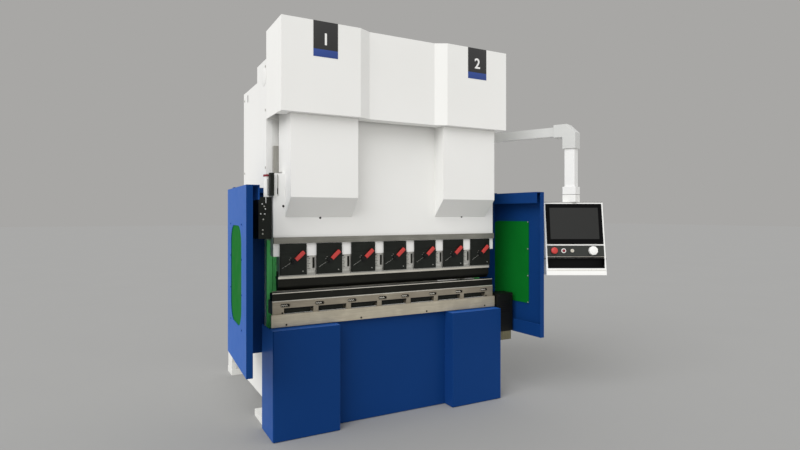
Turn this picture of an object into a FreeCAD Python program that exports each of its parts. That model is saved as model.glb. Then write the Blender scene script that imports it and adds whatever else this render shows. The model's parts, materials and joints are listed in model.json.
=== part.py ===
import FreeCAD, Part
import math
import os

# Servo press brake: two side frames carry a fixed table below and a ram above it, which two
# ball screws move up and down. Millimetres, +X to the operator's right, +Y towards the back,
# +Z up. Pieces are placed from the front of the blue covers (y = 0), the middle of the
# machine (x = 0) and the floor (z = 0). Saving moves the origin back to the middle of the
# four anchor holes.

# Table and lower tool, from the floor up
TABLE_TOP_Z = 677.0
TABLE_FRONT_Y = 60.0
TABLE_OVERHANG = 12.0
TABLE_PLATE_HEIGHT = 69.0
TABLE_PLATE_THICKNESS = 15.0
TABLE_PLATE_GAP = 2.0
TABLE_HOLE_RADIUS = 4.5
TABLE_HOLE_MARGIN = 84.0
TABLE_HOLE_COUNT = 4
TABLE_HOLE_RISE = 11.0
BEAM_FRONT_Y = 100.0
BEAM_BOTTOM_Z = 60.0
RAIL_OVERHANG = 3.0
RAIL_HEIGHT = 74.0
RAIL_DEPTH = 88.0
RAIL_SETBACK = 12.0
RAIL_CHAMFER = 5.0
RAIL_WINDOW_COUNT = 7
RAIL_WINDOW_MARGIN = 49.5
RAIL_POST_WIDTH = 30.0
RAIL_WINDOW_HEIGHT = 25.0
RAIL_WINDOW_DEPTH = 42.0
POCKET_WIDTH = 56.0
POCKET_HEIGHT = 20.0
POCKET_DEPTH = 9.0
POCKET_RISE = 47.0
WEDGE_TRAVEL = 25.0
WEDGE_DEPTH = 22.0
WEDGE_RISE = 6.0
DIE_HEIGHT = 44.0
DIE_DEPTH = 48.0
DIE_GROOVE_WIDTH = 26.0
DIE_GROOVE_DEPTH = 14.0
DIE_GROOVE_RADIUS = 1.0
DIE_EDGE = 2.0

# Upper tool, clamps and ram, from the die up
WORK_GAP = 10.0
STROKE = 150.0
TOOL_LINE_Y = 100.0
PUNCH_INSET = 28.0
PUNCH_HEIGHT = 67.0
PUNCH_TIP_WIDTH = 4.0
PUNCH_SETBACK = 4.0
BLADE_FRONT_STEP = 6.0
BLADE_BACK_STEP = 8.0
BLADE_FRONT_RADIUS = 20.0
BLADE_BACK_RADIUS = 6.0
BELLY_RISE = 23.5
BELLY_REACH = 9.0
BELLY_RADIUS = 8.0
SHOULDER_HEIGHT = 12.0
SHOULDER_DEPTH = 52.0
TANG_WIDTH = 14.0
TANG_HEIGHT = 30.0
TANG_CLEARANCE = 0.3
STATION_COUNT = 7
STATION_MARGIN = 4.5
ADAPTER_HEIGHT = 113.0
ADAPTER_LEFT = 77.0
ADAPTER_GAP = 3.0
ADAPTER_GROOVE_WIDTH = 14.0
ADAPTER_GROOVE_HEIGHT = 61.0
ADAPTER_GROOVE_DEPTH = 12.0
ADAPTER_GROOVE_MARGIN = 6.0
ADAPTER_GROOVE_DROP = 11.0
LEDGE_RISE = 12.0
LEDGE_HEIGHT = 17.0
LEDGE_DEPTH = 3.0
CLAMP_WIDTH = 152.0
CLAMP_HEIGHT = 174.0
CLAMP_THICKNESS = 14.0
CLAMP_RISE = 8.0
CLAMP_STEP_HEIGHT = 57.0
CLAMP_STEP_DEPTH = 4.0
LEVER_LENGTH = 84.0
LEVER_WIDTH = 19.0
LEVER_THICKNESS = 11.0
LEVER_HUB_RADIUS = 13.0
LEVER_TIP_RADIUS = 3.0
LEVER_PIN_RADIUS = 6.0
LEVER_PIN_END = 3.0
LEVER_RISE = 74.0
LEVER_ANGLE = 43.0
PIVOT_CLEARANCE = 0.05
FACE_CLEARANCE = 0.3
RAM_WIDTH = 1500.0
RAM_FRONT_Y = 66.0
RAM_THICKNESS = 60.0
RAM_WIDE_HEIGHT = 459.0
RAM_NECK_STEP = 67.0
RAM_HEIGHT = 853.0
RAM_CORNER_RADIUS = 12.0
CHEEK_DEPTH = 70.0
CHEEK_THICKNESS = 20.0
CHEEK_GAP = 14.0
STRIP_RISE = 72.0
STRIP_HEIGHT = 34.0
STRIP_THICKNESS = 14.0
SLOT_INSET = 26.0
SLOT_RISE = 333.0
SLOT_HEIGHT = 112.0
SLOT_WIDTH = 5.0
SLOT_DEPTH = 8.0
HOUSING_WIDTH = 395.0
HOUSING_DEPTH = 104.0
HOUSING_FOOT_RISE = 217.0
HOUSING_FACE_RISE = 326.0
HOUSING_TOP_DROP = 20.0
HOUSING_SHEET = 4.0
SCALE_BAR_WIDTH = 22.0
SCALE_BAR_DEPTH = 34.0
SCALE_BAR_HEIGHT = 125.0
SCALE_BAR_OVERHANG = 20.0

# Ball screws, guides and drives
SCREW_RADIUS = 25.0
SCREW_SETBACK = 52.0
NUT_WIDTH = 110.0
NUT_HEIGHT = 80.0
NUT_RISE = 560.0
NUT_DEPTH = 81.0
NUT_CLEARANCE = 0.3
SCREW_TAIL = 40.0
MOTOR_SIZE = 130.0
MOTOR_HEIGHT = 160.0
MOTOR_CORNER = 12.0
GUIDE_DEPTH = 102.0
GUIDE_RAIL_WIDTH = 34.0
GUIDE_RAIL_DEPTH = 25.0
GUIDE_RAIL_GROOVE = 5.0
GUIDE_WAIST_FRONT = 17.0
GUIDE_WAIST_BACK = 9.0
GUIDE_FLANK = 3.0
GUIDE_BLOCK_WIDTH = 56.0
GUIDE_BLOCK_HEIGHT = 120.0
GUIDE_BLOCK_REACH = 89.0
GUIDE_BLOCK_RISES = (133.0, 336.0)
GUIDE_RUNOUT = 20.0
RAM_HEADROOM = 40.0

# Side frames and what ties them
FRAME_INSET = 74.0
FRAME_THICKNESS = 34.0
FRAME_STEP_DEPTH = 213.0
FRAME_DEPTH = 580.0
HEEL_DEPTH = 1305.0
HEEL_TOP_Z = 520.0
WAIST_Z = 1400.0
STEP_DROP = 95.0
STEP_MARGIN = 33.0
LEG_DEPTH = 235.0
REAR_LEG_DEPTH = 143.0
ARCH_Z = 150.0
ARCH_RADIUS = 60.0
THROAT_LOW_Z = 700.0
THROAT_HIGH_Z = 1060.0
THROAT_DEPTH = 172.0
THROAT_RADIUS = 60.0
FOOT_THICKNESS = 40.0
FOOT_REACH = 80.0
FOOT_OVERHANG = 8.0
REAR_FOOT_OVERHANG = 3.0
ANCHOR_INSET = 41.0
ANCHOR_FRONT_SETBACK = 157.0
ANCHOR_REAR_SETBACK = 68.0
ANCHOR_RADIUS = 11.0
TOP_PLATE_THICKNESS = 50.0
TOP_PLATE_FRONT_Y = -30.0
HEAD_WEB_HEIGHT = 340.0
HEAD_WEB_THICKNESS = 40.0
HEAD_WEB_SETBACK = 7.0
TIE_HEIGHT = 60.0
TIE_WALL = 8.0
UPPER_TIE_Y = 840.0
LOWER_TIE_SETBACK = 133.0
LOWER_TIE_Z = 200.0

# Covers
SHEET = 3.0
SIDE_TRAY_DEPTH = 37.0
SIDE_COVER_BOTTOM_Z = 155.0
LIFT_HOLE_WIDTH = 22.0
LIFT_HOLE_HEIGHT = 50.0
LIFT_HOLE_REAR = 115.0
LIFT_HOLE_DROP = 49.0
SLOT_END_FLAT = 0.5
FRONT_COVER_OVERHANG = 22.0
FRONT_COVER_WIDTH = 388.0
FRONT_COVER_DEPTH = 237.0
FRONT_COVER_TOP_GAP = 7.0
FRONT_COVER_FLOOR_GAP = 4.0
FRONT_COVER_CORNER = 8.0
CENTER_PANEL_DEPTH = 9.0
HOOD_FRONT_Y = -79.5
HOOD_CENTER_Y = -42.4
HOOD_BEND_OUTER_X = 291.0
HOOD_BEND_INNER_X = 220.0
HOOD_HEIGHT = 503.0
HOOD_CLEARANCE = 171.0
HOOD_LIP_DEPTH = 115.0
HOOD_SEAM = 1.0
LIP_CLEARANCE = 6.0
SAFETY_STRIP_DEPTH = 15.0
SAFETY_STRIP_WIDTH = 32.0
SAFETY_STRIP_LOW_Z = 575.0
SAFETY_STRIP_TOP_Z = 1082.0
INNER_STRIP_INSET = 10.0
INNER_STRIP_WIDTH = 26.0
INNER_STRIP_LOW_Z = 787.0

# Side guards
GUARD_STANDOFF = 187.0
GUARD_FRONT_Y = -206.0
GUARD_LENGTH = 624.0
GUARD_SPLAY = 2.85
GUARD_LOW_Z = 428.0
GUARD_HIGH_Z = 1375.0
GUARD_FRONT_LIP = 32.0
GUARD_TOP_LIP = 65.0
GUARD_BOTTOM_LIP = 28.0
GUARD_REAR_LIP = 25.0
GUARD_TOP_RETURN = 72.0
GUARD_BOTTOM_RETURN = 84.0
GUARD_RETURN_GAP = 3.0
GUARD_WALL_Y = 265.0
GUARD_WALL_THICKNESS = 20.0
GUARD_WALL_RISE = 7.0
GUARD_WALL_LIP_DEPTH = 25.0
GUARD_WALL_LIP_HEIGHT = 29.0
GUARD_CUT_MARGIN = 200.0
PANE_THICKNESS = 5.0
WINDOW_LOW_Z = 646.0
WINDOW_HIGH_Z = 1171.0
WINDOW_FRONT = 145.0
WINDOW_LENGTH = 350.0
WINDOW_CORNER = 100.0
PANE_LAP = 12.0
PANE_REAR_CORNER = 80.0

# Fittings on the sides
VALVE_RAM_GAP = 5.0
VALVE_WIDTH = 71.0
VALVE_DEPTH = 143.0
VALVE_FOOT_GAP = 10.0
VALVE_FOOT_INSET = 19.0
VALVE_LOW_Z = 1095.0
VALVE_HEIGHT = 230.0
OIL_CUP_INSET = 20.0
OIL_CUP_RADIUS = 18.0
OIL_CUP_HEIGHT = 108.0
OIL_CAP_HEIGHT = 16.0
OIL_CAP_RADIUS = 19.5
DRIVE_BOX_WIDTH = 137.0
DRIVE_BOX_DEPTH = 110.0
DRIVE_BOX_FRONT_Y = 37.0
DRIVE_BOX_LOW_Z = 437.0
DRIVE_BOX_HEIGHT = 256.0
DRIVE_BOX_CORNER = 14.0
DRIVE_FOOT_WIDTH = 115.0
DRIVE_FOOT_DEPTH = 70.0
DRIVE_FOOT_HEIGHT = 58.0

# Pendant arm and control panel
ARM_PIVOT_OFFSET = 81.0
ARM_PIVOT_Y = 620.0
ARM_MIDDLE_Z = 1790.5
ARM_TUBE = 62.0
ARM_ANGLE = -65.4
ARM_KNUCKLE_RADIUS = 40.0
ARM_PIN_RADIUS = 15.0
LUG_THICKNESS = 14.0
LUG_RADIUS = 34.0
BRACKET_THICKNESS = 12.0
BRACKET_WIDTH = 130.0
BRACKET_HEIGHT = 200.0
ELBOW_SIZE = 88.0
ELBOW_LENGTH = 150.0
ELBOW_RISE = 45.0
ELBOW_UNDERSIDE = 40.0
ELBOW_DROP = 120.0
ELBOW_CHAMFER = 58.0
ELBOW_INNER_RADIUS = 10.0
DROP_TUBE = 70.0
COLLAR_SIZE = 90.0
COLLAR_HEIGHT = 52.0
POST_EDGE_RADIUS = 6.0
SWIVEL_Z = 1363.0
PANEL_STANDOFF = 247.4
PANEL_ANGLE = -28.2
PANEL_WIDTH = 392.0
PANEL_TOP_Z = 1312.0
PANEL_BOTTOM_Z = 833.0
PANEL_TOP_FRONT = 40.0
PANEL_LEAN = 80.0
PANEL_BACK = 45.0
PANEL_EDGE_RADIUS = 6.0
GLASS_THICKNESS = 3.0
GLASS_MARGIN = 10.0
GLASS_TOP_Z = 1300.0
GLASS_BOTTOM_Z = 1034.0
STRIP_TOP_Z = 1025.0
STRIP_BOTTOM_Z = 954.0
TRAY_TOP_Z = 943.0
TRAY_BOTTOM_Z = 877.0
TRAY_DEPTH = 62.0
TRAY_CUT_MARGIN = 20.0
BUTTON_Z = 990.0
BUTTON_LENGTH = 12.0
STOP_X = -144.0
STOP_RADIUS = 22.0
STOP_LENGTH = 26.0
RING_X = -80.0
RING_RADIUS = 15.0
KEY_X = -24.0
KEY_RADIUS = 12.0
KNOB_X = 110.0
KNOB_RADIUS = 29.0
KNOB_LENGTH = 24.0

# Back gauge
GAUGE_RAIL_X = 400.0
GAUGE_RAIL_WIDTH = 90.0
GAUGE_BEAM_Y = 560.0
GAUGE_BEAM_SIZE = 60.0
GAUGE_BEAM_END_GAP = 56.0
GAUGE_FINGER_X = 260.0
GAUGE_FINGER_WIDTH = 44.0
GAUGE_FINGER_REACH = 250.0
GAUGE_POST_HEIGHT = 50.0
GAUGE_FINGER_THICKNESS = 18.0
GAUGE_TOP_Z = 640.0

# Widths that follow from the ram's
TABLE_PLATE_WIDTH = RAM_WIDTH + 2 * TABLE_OVERHANG
TABLE_HOLE_PITCH = (TABLE_PLATE_WIDTH - 2 * TABLE_HOLE_MARGIN) / (TABLE_HOLE_COUNT - 1)
RAIL_WIDTH = RAM_WIDTH + 2 * RAIL_OVERHANG
RAIL_WINDOW_PITCH = (RAIL_WIDTH - 2 * RAIL_WINDOW_MARGIN) / RAIL_WINDOW_COUNT
RAIL_WINDOW_WIDTH = RAIL_WINDOW_PITCH - RAIL_POST_WIDTH
WEDGE_WIDTH = RAIL_WINDOW_WIDTH - WEDGE_TRAVEL
PUNCH_WIDTH = RAM_WIDTH - 2 * PUNCH_INSET
STATION_PITCH = (RAM_WIDTH - 2 * STATION_MARGIN) / STATION_COUNT
RAM_NECK_WIDTH = RAM_WIDTH - 2 * RAM_NECK_STEP
SLOT_X = RAM_WIDTH / 2 - SLOT_INSET
HOUSING_OUTER_X = RAM_NECK_WIDTH / 2
HOUSING_INNER_X = HOUSING_OUTER_X - HOUSING_WIDTH
SCREW_X = (HOUSING_INNER_X + HOUSING_OUTER_X) / 2
FRAME_INNER_X = RAM_WIDTH / 2 - FRAME_INSET
FRAME_OUTER_X = FRAME_INNER_X + FRAME_THICKNESS
COVER_OUTER_X = FRAME_OUTER_X + SIDE_TRAY_DEPTH
FRONT_COVER_HALF_WIDTH = COVER_OUTER_X + FRONT_COVER_OVERHANG
FRONT_COVER_INNER_X = FRONT_COVER_HALF_WIDTH - FRONT_COVER_WIDTH
GAUGE_BEAM_WIDTH = 2 * (FRAME_INNER_X - GAUGE_BEAM_END_GAP)

# Levels and planes that follow from the sizes above
RAIL_FRONT_Y = TABLE_FRONT_Y + RAIL_SETBACK
RAIL_TOP_Z = TABLE_TOP_Z + RAIL_HEIGHT
DIE_TOP_Z = RAIL_TOP_Z + DIE_HEIGHT
TIP_Z = DIE_TOP_Z + WORK_GAP
SHOULDER_Z = TIP_Z + PUNCH_HEIGHT
ADAPTER_Z = SHOULDER_Z + SHOULDER_HEIGHT
RAM_Z = ADAPTER_Z + ADAPTER_HEIGHT
RAM_BACK_Y = RAM_FRONT_Y + RAM_THICKNESS
RAM_NECK_Z = RAM_Z + RAM_WIDE_HEIGHT
RAM_TOP_Z = RAM_Z + RAM_HEIGHT
FRAME_FRONT_Y = RAM_BACK_Y + GUIDE_DEPTH
GUARD_FRONT_X = FRONT_COVER_HALF_WIDTH + GUARD_STANDOFF
TOP_PLATE_Z = RAM_TOP_Z + STROKE + RAM_HEADROOM
STEP_TOP_Z = TOP_PLATE_Z + TOP_PLATE_THICKNESS + STEP_MARGIN
FRAME_TOP_Z = STEP_TOP_Z - STEP_DROP
STEP_REAR_Y = FRAME_FRONT_Y + FRAME_STEP_DEPTH
FRAME_REAR_Y = FRAME_FRONT_Y + FRAME_DEPTH
HEEL_REAR_Y = FRAME_FRONT_Y + HEEL_DEPTH
THROAT_REAR_Y = FRAME_FRONT_Y + THROAT_DEPTH
LEG_REAR_Y = FRAME_FRONT_Y + LEG_DEPTH
REAR_LEG_FRONT_Y = HEEL_REAR_Y - REAR_LEG_DEPTH
HOOD_BOTTOM_Z = RAM_NECK_Z + STROKE + HOOD_CLEARANCE
HOOD_TOP_Z = HOOD_BOTTOM_Z + HOOD_HEIGHT
HOUSING_FRONT_Y = RAM_FRONT_Y - HOUSING_DEPTH
HOUSING_TOP_Z = RAM_TOP_Z + HOUSING_TOP_DROP
SCREW_Y = RAM_FRONT_Y - SCREW_SETBACK
FRONT_COVER_TOP_Z = TABLE_TOP_Z - TABLE_PLATE_HEIGHT - FRONT_COVER_TOP_GAP
ANCHOR_X = FRAME_INNER_X - ANCHOR_INSET
ANCHOR_FRONT_Y = FRAME_FRONT_Y + ANCHOR_FRONT_SETBACK
ANCHOR_REAR_Y = HEEL_REAR_Y - ANCHOR_REAR_SETBACK
ANCHOR_MIDDLE_Y = (ANCHOR_FRONT_Y + ANCHOR_REAR_Y) / 2
VALVE_INNER_X = RAM_WIDTH / 2 + VALVE_RAM_GAP
VALVE_FRONT_Y = FRAME_FRONT_Y - VALVE_DEPTH
ARM_PIVOT_X = COVER_OUTER_X + ARM_PIVOT_OFFSET
ARM_REACH = (GUARD_FRONT_X + PANEL_STANDOFF - ARM_PIVOT_X) / math.cos(math.radians(ARM_ANGLE))
X_AXIS = FreeCAD.Vector(1, 0, 0)
Y_AXIS = FreeCAD.Vector(0, 1, 0)
Z_AXIS = FreeCAD.Vector(0, 0, 1)


def point(x, y, z):
    return FreeCAD.Vector(x, y, z)


def block(x_span, y_span, z_span):
    """A plain block between low and high values on each axis."""
    size = [high - low for low, high in (x_span, y_span, z_span)]
    return Part.makeBox(*size, point(x_span[0], y_span[0], z_span[0]))


def rod(radius, base, end):
    """A round bar from one point to another."""
    axis = end - base
    return Part.makeCylinder(radius, axis.Length, base, axis)


def outline(corners, to_space):
    """A closed flat face through corners (a, b) or (a, b, radius), each radius as a tangent arc."""
    count = len(corners)
    flat = [FreeCAD.Vector(corner[0], corner[1], 0) for corner in corners]
    starts = []
    ends = []
    arcs = []
    for i in range(count):
        here = flat[i]
        radius = corners[i][2] if len(corners[i]) > 2 else 0.0
        if radius == 0:
            starts.append(here)
            ends.append(here)
            arcs.append(None)
            continue
        back = (flat[i - 1] - here).normalize()
        ahead = (flat[(i + 1) % count] - here).normalize()
        half_angle = back.getAngle(ahead) / 2
        middle = (back + ahead).normalize()
        centre = here + middle * (radius / math.sin(half_angle))
        reach = radius / math.tan(half_angle)
        starts.append(here + back * reach)
        ends.append(here + ahead * reach)
        arcs.append(centre - middle * radius)
    edges = []
    for i in range(count):
        if arcs[i] is not None:
            path = [to_space(p.x, p.y) for p in (starts[i], arcs[i], ends[i])]
            edges.append(Part.Arc(*path).toShape())
        run_start = to_space(ends[i].x, ends[i].y)
        run_end = to_space(starts[(i + 1) % count].x, starts[(i + 1) % count].y)
        if run_start.distanceToPoint(run_end) > 1e-6:
            edges.append(Part.makeLine(run_start, run_end))
    return Part.Face(Part.Wire(edges))


def prism_x(corners, low, high):
    """A side outline given as (y, z), drawn out along X."""
    return outline(corners, lambda y, z: point(low, y, z)).extrude(X_AXIS * (high - low))


def prism_y(corners, low, high):
    """A front outline given as (x, z), drawn out along Y."""
    return outline(corners, lambda x, z: point(x, low, z)).extrude(Y_AXIS * (high - low))


def prism_z(corners, low, high):
    """A plan outline given as (x, y), drawn out along Z."""
    return outline(corners, lambda x, y: point(x, y, low)).extrude(Z_AXIS * (high - low))


def rounded_box_corners(a_span, b_span, radius):
    """The four corners of a rectangle, each rounded."""
    return [
        (a_span[0], b_span[0], radius),
        (a_span[1], b_span[0], radius),
        (a_span[1], b_span[1], radius),
        (a_span[0], b_span[1], radius),
    ]


def slot_corners(a_span, b_span):
    """A slot's outline, its ends rounded over almost their whole width."""
    width = min(a_span[1] - a_span[0], b_span[1] - b_span[0])
    return rounded_box_corners(a_span, b_span, width / 2 - SLOT_END_FLAT)


def mirrored(shape):
    """The same piece on the other side of the machine's middle plane."""
    return shape.mirror(point(0, 0, 0), X_AXIS)


def moved(shape, x=0.0, y=0.0, z=0.0):
    copy = shape.copy()
    copy.translate(point(x, y, z))
    return copy


def turned(shape, centre, degrees):
    """A copy turned about the upright axis through centre."""
    copy = shape.copy()
    copy.rotate(centre, Z_AXIS, degrees)
    return copy


def row(count, pitch):
    """Evenly spaced places, centred on zero."""
    return [(i - (count - 1) / 2) * pitch for i in range(count)]


def save(name, *solids):
    """Writes one node, with the origin moved to the middle of the anchor holes."""
    shape = solids[0] if len(solids) == 1 else Part.makeCompound(list(solids))
    moved(shape, y=-ANCHOR_MIDDLE_Y).exportStep(os.path.join("parts", name + ".step"))


def side_outline(front_y, low_z):
    """The upper body of a side: front edge, stepped top and straight back, as (y, z)."""
    return [
        (front_y, low_z),
        (front_y, STEP_TOP_Z),
        (STEP_REAR_Y, STEP_TOP_Z),
        (STEP_REAR_Y, FRAME_TOP_Z),
        (FRAME_REAR_Y, FRAME_TOP_Z),
    ]


def side_frame():
    """The C-shaped load-bearing plate, right-hand side, on two legs with an arch between."""
    corners = side_outline(FRAME_FRONT_Y, FOOT_THICKNESS) + [
        (FRAME_REAR_Y, WAIST_Z),
        (HEEL_REAR_Y, HEEL_TOP_Z),
        (HEEL_REAR_Y, FOOT_THICKNESS),
        (REAR_LEG_FRONT_Y, FOOT_THICKNESS),
        (REAR_LEG_FRONT_Y, ARCH_Z, ARCH_RADIUS),
        (LEG_REAR_Y, ARCH_Z, ARCH_RADIUS),
        (LEG_REAR_Y, FOOT_THICKNESS),
    ]
    plate = prism_x(corners, FRAME_INNER_X, FRAME_OUTER_X)
    throat = [
        (FRAME_FRONT_Y - 1, THROAT_LOW_Z),
        (THROAT_REAR_Y, THROAT_LOW_Z, THROAT_RADIUS),
        (THROAT_REAR_Y, THROAT_HIGH_Z, THROAT_RADIUS),
        (FRAME_FRONT_Y - 1, THROAT_HIGH_Z),
    ]
    return plate.cut(prism_x(throat, FRAME_INNER_X - 1, FRAME_OUTER_X + 1))


def side_cover():
    """The sheet-metal tray over the frame plate, right-hand side, with the lifting hole."""
    corners = side_outline(FRAME_FRONT_Y, SIDE_COVER_BOTTOM_Z) + [(FRAME_REAR_Y, SIDE_COVER_BOTTOM_Z)]
    face = outline(corners, lambda y, z: point(FRAME_OUTER_X, y, z))
    tray = face.extrude(X_AXIS * SIDE_TRAY_DEPTH)
    hollow = face.makeOffset2D(-SHEET).extrude(X_AXIS * (SIDE_TRAY_DEPTH - SHEET))
    hole_y = FRAME_REAR_Y - LIFT_HOLE_REAR
    hole_z = FRAME_TOP_Z - LIFT_HOLE_DROP
    hole = slot_corners(
        (hole_y - LIFT_HOLE_WIDTH / 2, hole_y + LIFT_HOLE_WIDTH / 2),
        (hole_z - LIFT_HOLE_HEIGHT / 2, hole_z + LIFT_HOLE_HEIGHT / 2),
    )
    return tray.cut([hollow, prism_x(hole, FRAME_OUTER_X, COVER_OUTER_X + 1)])


def foot_plates():
    """Four floor plates, each with an anchor hole inside the frame."""
    plates = []
    front = (FRAME_FRONT_Y + FOOT_OVERHANG, LEG_REAR_Y + FOOT_OVERHANG)
    rear = (REAR_LEG_FRONT_Y - FOOT_OVERHANG, HEEL_REAR_Y)
    feet = (
        (COVER_OUTER_X + FOOT_OVERHANG, front, ANCHOR_FRONT_Y),
        (FRAME_OUTER_X + REAR_FOOT_OVERHANG, rear, ANCHOR_REAR_Y),
    )
    for outer_x, y_span, hole_y in feet:
        plate = block((FRAME_INNER_X - FOOT_REACH, outer_x), y_span, (0, FOOT_THICKNESS))
        hole = rod(ANCHOR_RADIUS, point(ANCHOR_X, hole_y, -1), point(ANCHOR_X, hole_y, FOOT_THICKNESS + 1))
        plate = plate.cut(hole)
        plates += [plate, mirrored(plate)]
    return plates


def lower_beam():
    """The table's upright beam, deeper at the top where the rail sits."""
    step_z = TABLE_TOP_Z - TABLE_PLATE_HEIGHT - TABLE_PLATE_GAP
    plate_back_y = TABLE_FRONT_Y + TABLE_PLATE_THICKNESS
    corners = [
        (BEAM_FRONT_Y, BEAM_BOTTOM_Z),
        (FRAME_FRONT_Y, BEAM_BOTTOM_Z),
        (FRAME_FRONT_Y, TABLE_TOP_Z),
        (plate_back_y, TABLE_TOP_Z),
        (plate_back_y, step_z),
        (BEAM_FRONT_Y, step_z),
    ]
    return prism_x(corners, -FRAME_OUTER_X, FRAME_OUTER_X)


def head_beam():
    """The upright web and the top plate that carry the drives, between the side frames."""
    web_front_y = FRAME_FRONT_Y + HEAD_WEB_SETBACK
    web_back_y = web_front_y + HEAD_WEB_THICKNESS
    web_low_z = TOP_PLATE_Z - HEAD_WEB_HEIGHT
    top_z = TOP_PLATE_Z + TOP_PLATE_THICKNESS
    corners = [
        (TOP_PLATE_FRONT_Y, TOP_PLATE_Z),
        (web_front_y, TOP_PLATE_Z),
        (web_front_y, web_low_z),
        (web_back_y, web_low_z),
        (web_back_y, TOP_PLATE_Z),
        (STEP_REAR_Y, TOP_PLATE_Z),
        (STEP_REAR_Y, top_z),
        (TOP_PLATE_FRONT_Y, top_z),
    ]
    return prism_x(corners, -FRAME_INNER_X, FRAME_INNER_X)


def square_tube(x_span, y_span, z_span, wall):
    """A square tube along X, open at its ends."""
    outer = block(x_span, y_span, z_span)
    bore = block(
        (x_span[0] - 1, x_span[1] + 1),
        (y_span[0] + wall, y_span[1] - wall),
        (z_span[0] + wall, z_span[1] - wall),
    )
    return outer.cut(bore)


def rear_ties():
    """Two tubes between the side frames at the back."""
    span = (-FRAME_INNER_X, FRAME_INNER_X)
    lower_y = HEEL_REAR_Y - LOWER_TIE_SETBACK
    upper = square_tube(
        span,
        (UPPER_TIE_Y, UPPER_TIE_Y + TIE_HEIGHT),
        (GAUGE_TOP_Z - TIE_HEIGHT, GAUGE_TOP_Z),
        TIE_WALL,
    )
    lower = square_tube(
        span,
        (lower_y, lower_y + TIE_HEIGHT),
        (LOWER_TIE_Z, LOWER_TIE_Z + TIE_HEIGHT),
        TIE_WALL,
    )
    return [upper, lower]


def back_gauge():
    """Two rails behind the table with a cross beam and two stop fingers."""
    solids = []
    beam_z = GAUGE_TOP_Z + TIE_HEIGHT
    rail_rear_y = UPPER_TIE_Y + TIE_HEIGHT
    for x in (-GAUGE_RAIL_X, GAUGE_RAIL_X):
        side = (x - GAUGE_RAIL_WIDTH / 2, x + GAUGE_RAIL_WIDTH / 2)
        solids.append(block(side, (FRAME_FRONT_Y, rail_rear_y), (GAUGE_TOP_Z, beam_z)))
    beam = block(
        (-GAUGE_BEAM_WIDTH / 2, GAUGE_BEAM_WIDTH / 2),
        (GAUGE_BEAM_Y, GAUGE_BEAM_Y + GAUGE_BEAM_SIZE),
        (beam_z, beam_z + GAUGE_BEAM_SIZE),
    )
    post_low_z = beam_z + GAUGE_BEAM_SIZE
    post_top_z = post_low_z + GAUGE_POST_HEIGHT
    fingers = []
    for x in (-GAUGE_FINGER_X, GAUGE_FINGER_X):
        side = (x - GAUGE_FINGER_WIDTH / 2, x + GAUGE_FINGER_WIDTH / 2)
        post = block(side, (GAUGE_BEAM_Y, GAUGE_BEAM_Y + GAUGE_BEAM_SIZE), (post_low_z, post_top_z))
        finger_span_y = (GAUGE_BEAM_Y - GAUGE_FINGER_REACH, GAUGE_BEAM_Y + GAUGE_BEAM_SIZE)
        finger = block(side, finger_span_y, (post_top_z - GAUGE_FINGER_THICKNESS, post_top_z))
        fingers.append(post.fuse(finger).removeSplitter())
    return solids + [beam] + fingers


def front_cover():
    """The blue sheet-metal box at the foot of the machine, right-hand side."""
    low_z = FRONT_COVER_FLOOR_GAP
    shell_plan = [
        (FRONT_COVER_INNER_X, 0, FRONT_COVER_CORNER),
        (FRONT_COVER_HALF_WIDTH, 0, FRONT_COVER_CORNER),
        (FRONT_COVER_HALF_WIDTH, FRONT_COVER_DEPTH),
        (FRONT_COVER_INNER_X, FRONT_COVER_DEPTH),
    ]
    hollow_plan = [
        (FRONT_COVER_INNER_X + SHEET, SHEET, FRONT_COVER_CORNER - SHEET),
        (FRONT_COVER_HALF_WIDTH - SHEET, SHEET, FRONT_COVER_CORNER - SHEET),
        (FRONT_COVER_HALF_WIDTH - SHEET, FRONT_COVER_DEPTH + 1),
        (FRONT_COVER_INNER_X + SHEET, FRONT_COVER_DEPTH + 1),
    ]
    shell = prism_z(shell_plan, low_z, FRONT_COVER_TOP_Z)
    hollow = prism_z(hollow_plan, low_z - 1, FRONT_COVER_TOP_Z - SHEET)
    beam_room = block(
        (FRONT_COVER_INNER_X - 1, FRONT_COVER_HALF_WIDTH - SHEET),
        (BEAM_FRONT_Y, FRONT_COVER_DEPTH + 1),
        (low_z - 1, FRONT_COVER_TOP_Z + 1),
    )
    return shell.cut([hollow, beam_room])


def center_panel():
    """The blue tray panel set back between the two boxes."""
    half = FRONT_COVER_INNER_X - FACE_CLEARANCE
    front_y = BEAM_FRONT_Y - CENTER_PANEL_DEPTH
    z_span = (FRONT_COVER_FLOOR_GAP, FRONT_COVER_TOP_Z)
    tray = block((-half, half), (front_y, BEAM_FRONT_Y), z_span)
    hollow = block(
        (-half + SHEET, half - SHEET),
        (front_y + SHEET, BEAM_FRONT_Y + 1),
        (z_span[0] + SHEET, z_span[1] - SHEET),
    )
    return tray.cut(hollow)


def table_front_plate():
    """The ground plate along the table's front edge, with its four fixing holes."""
    half = TABLE_PLATE_WIDTH / 2
    low_z = TABLE_TOP_Z - TABLE_PLATE_HEIGHT
    plate = block((-half, half), (TABLE_FRONT_Y, TABLE_FRONT_Y + TABLE_PLATE_THICKNESS), (low_z, TABLE_TOP_Z))
    hole_z = low_z + TABLE_HOLE_RISE
    holes = []
    for x in row(TABLE_HOLE_COUNT, TABLE_HOLE_PITCH):
        start = point(x, TABLE_FRONT_Y - 1, hole_z)
        holes.append(rod(TABLE_HOLE_RADIUS, start, start + Y_AXIS * (TABLE_PLATE_THICKNESS + 2)))
    return plate.cut(holes)


def rail_windows():
    """The x position of each window in the rail."""
    return row(RAIL_WINDOW_COUNT, RAIL_WINDOW_PITCH)


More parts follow.
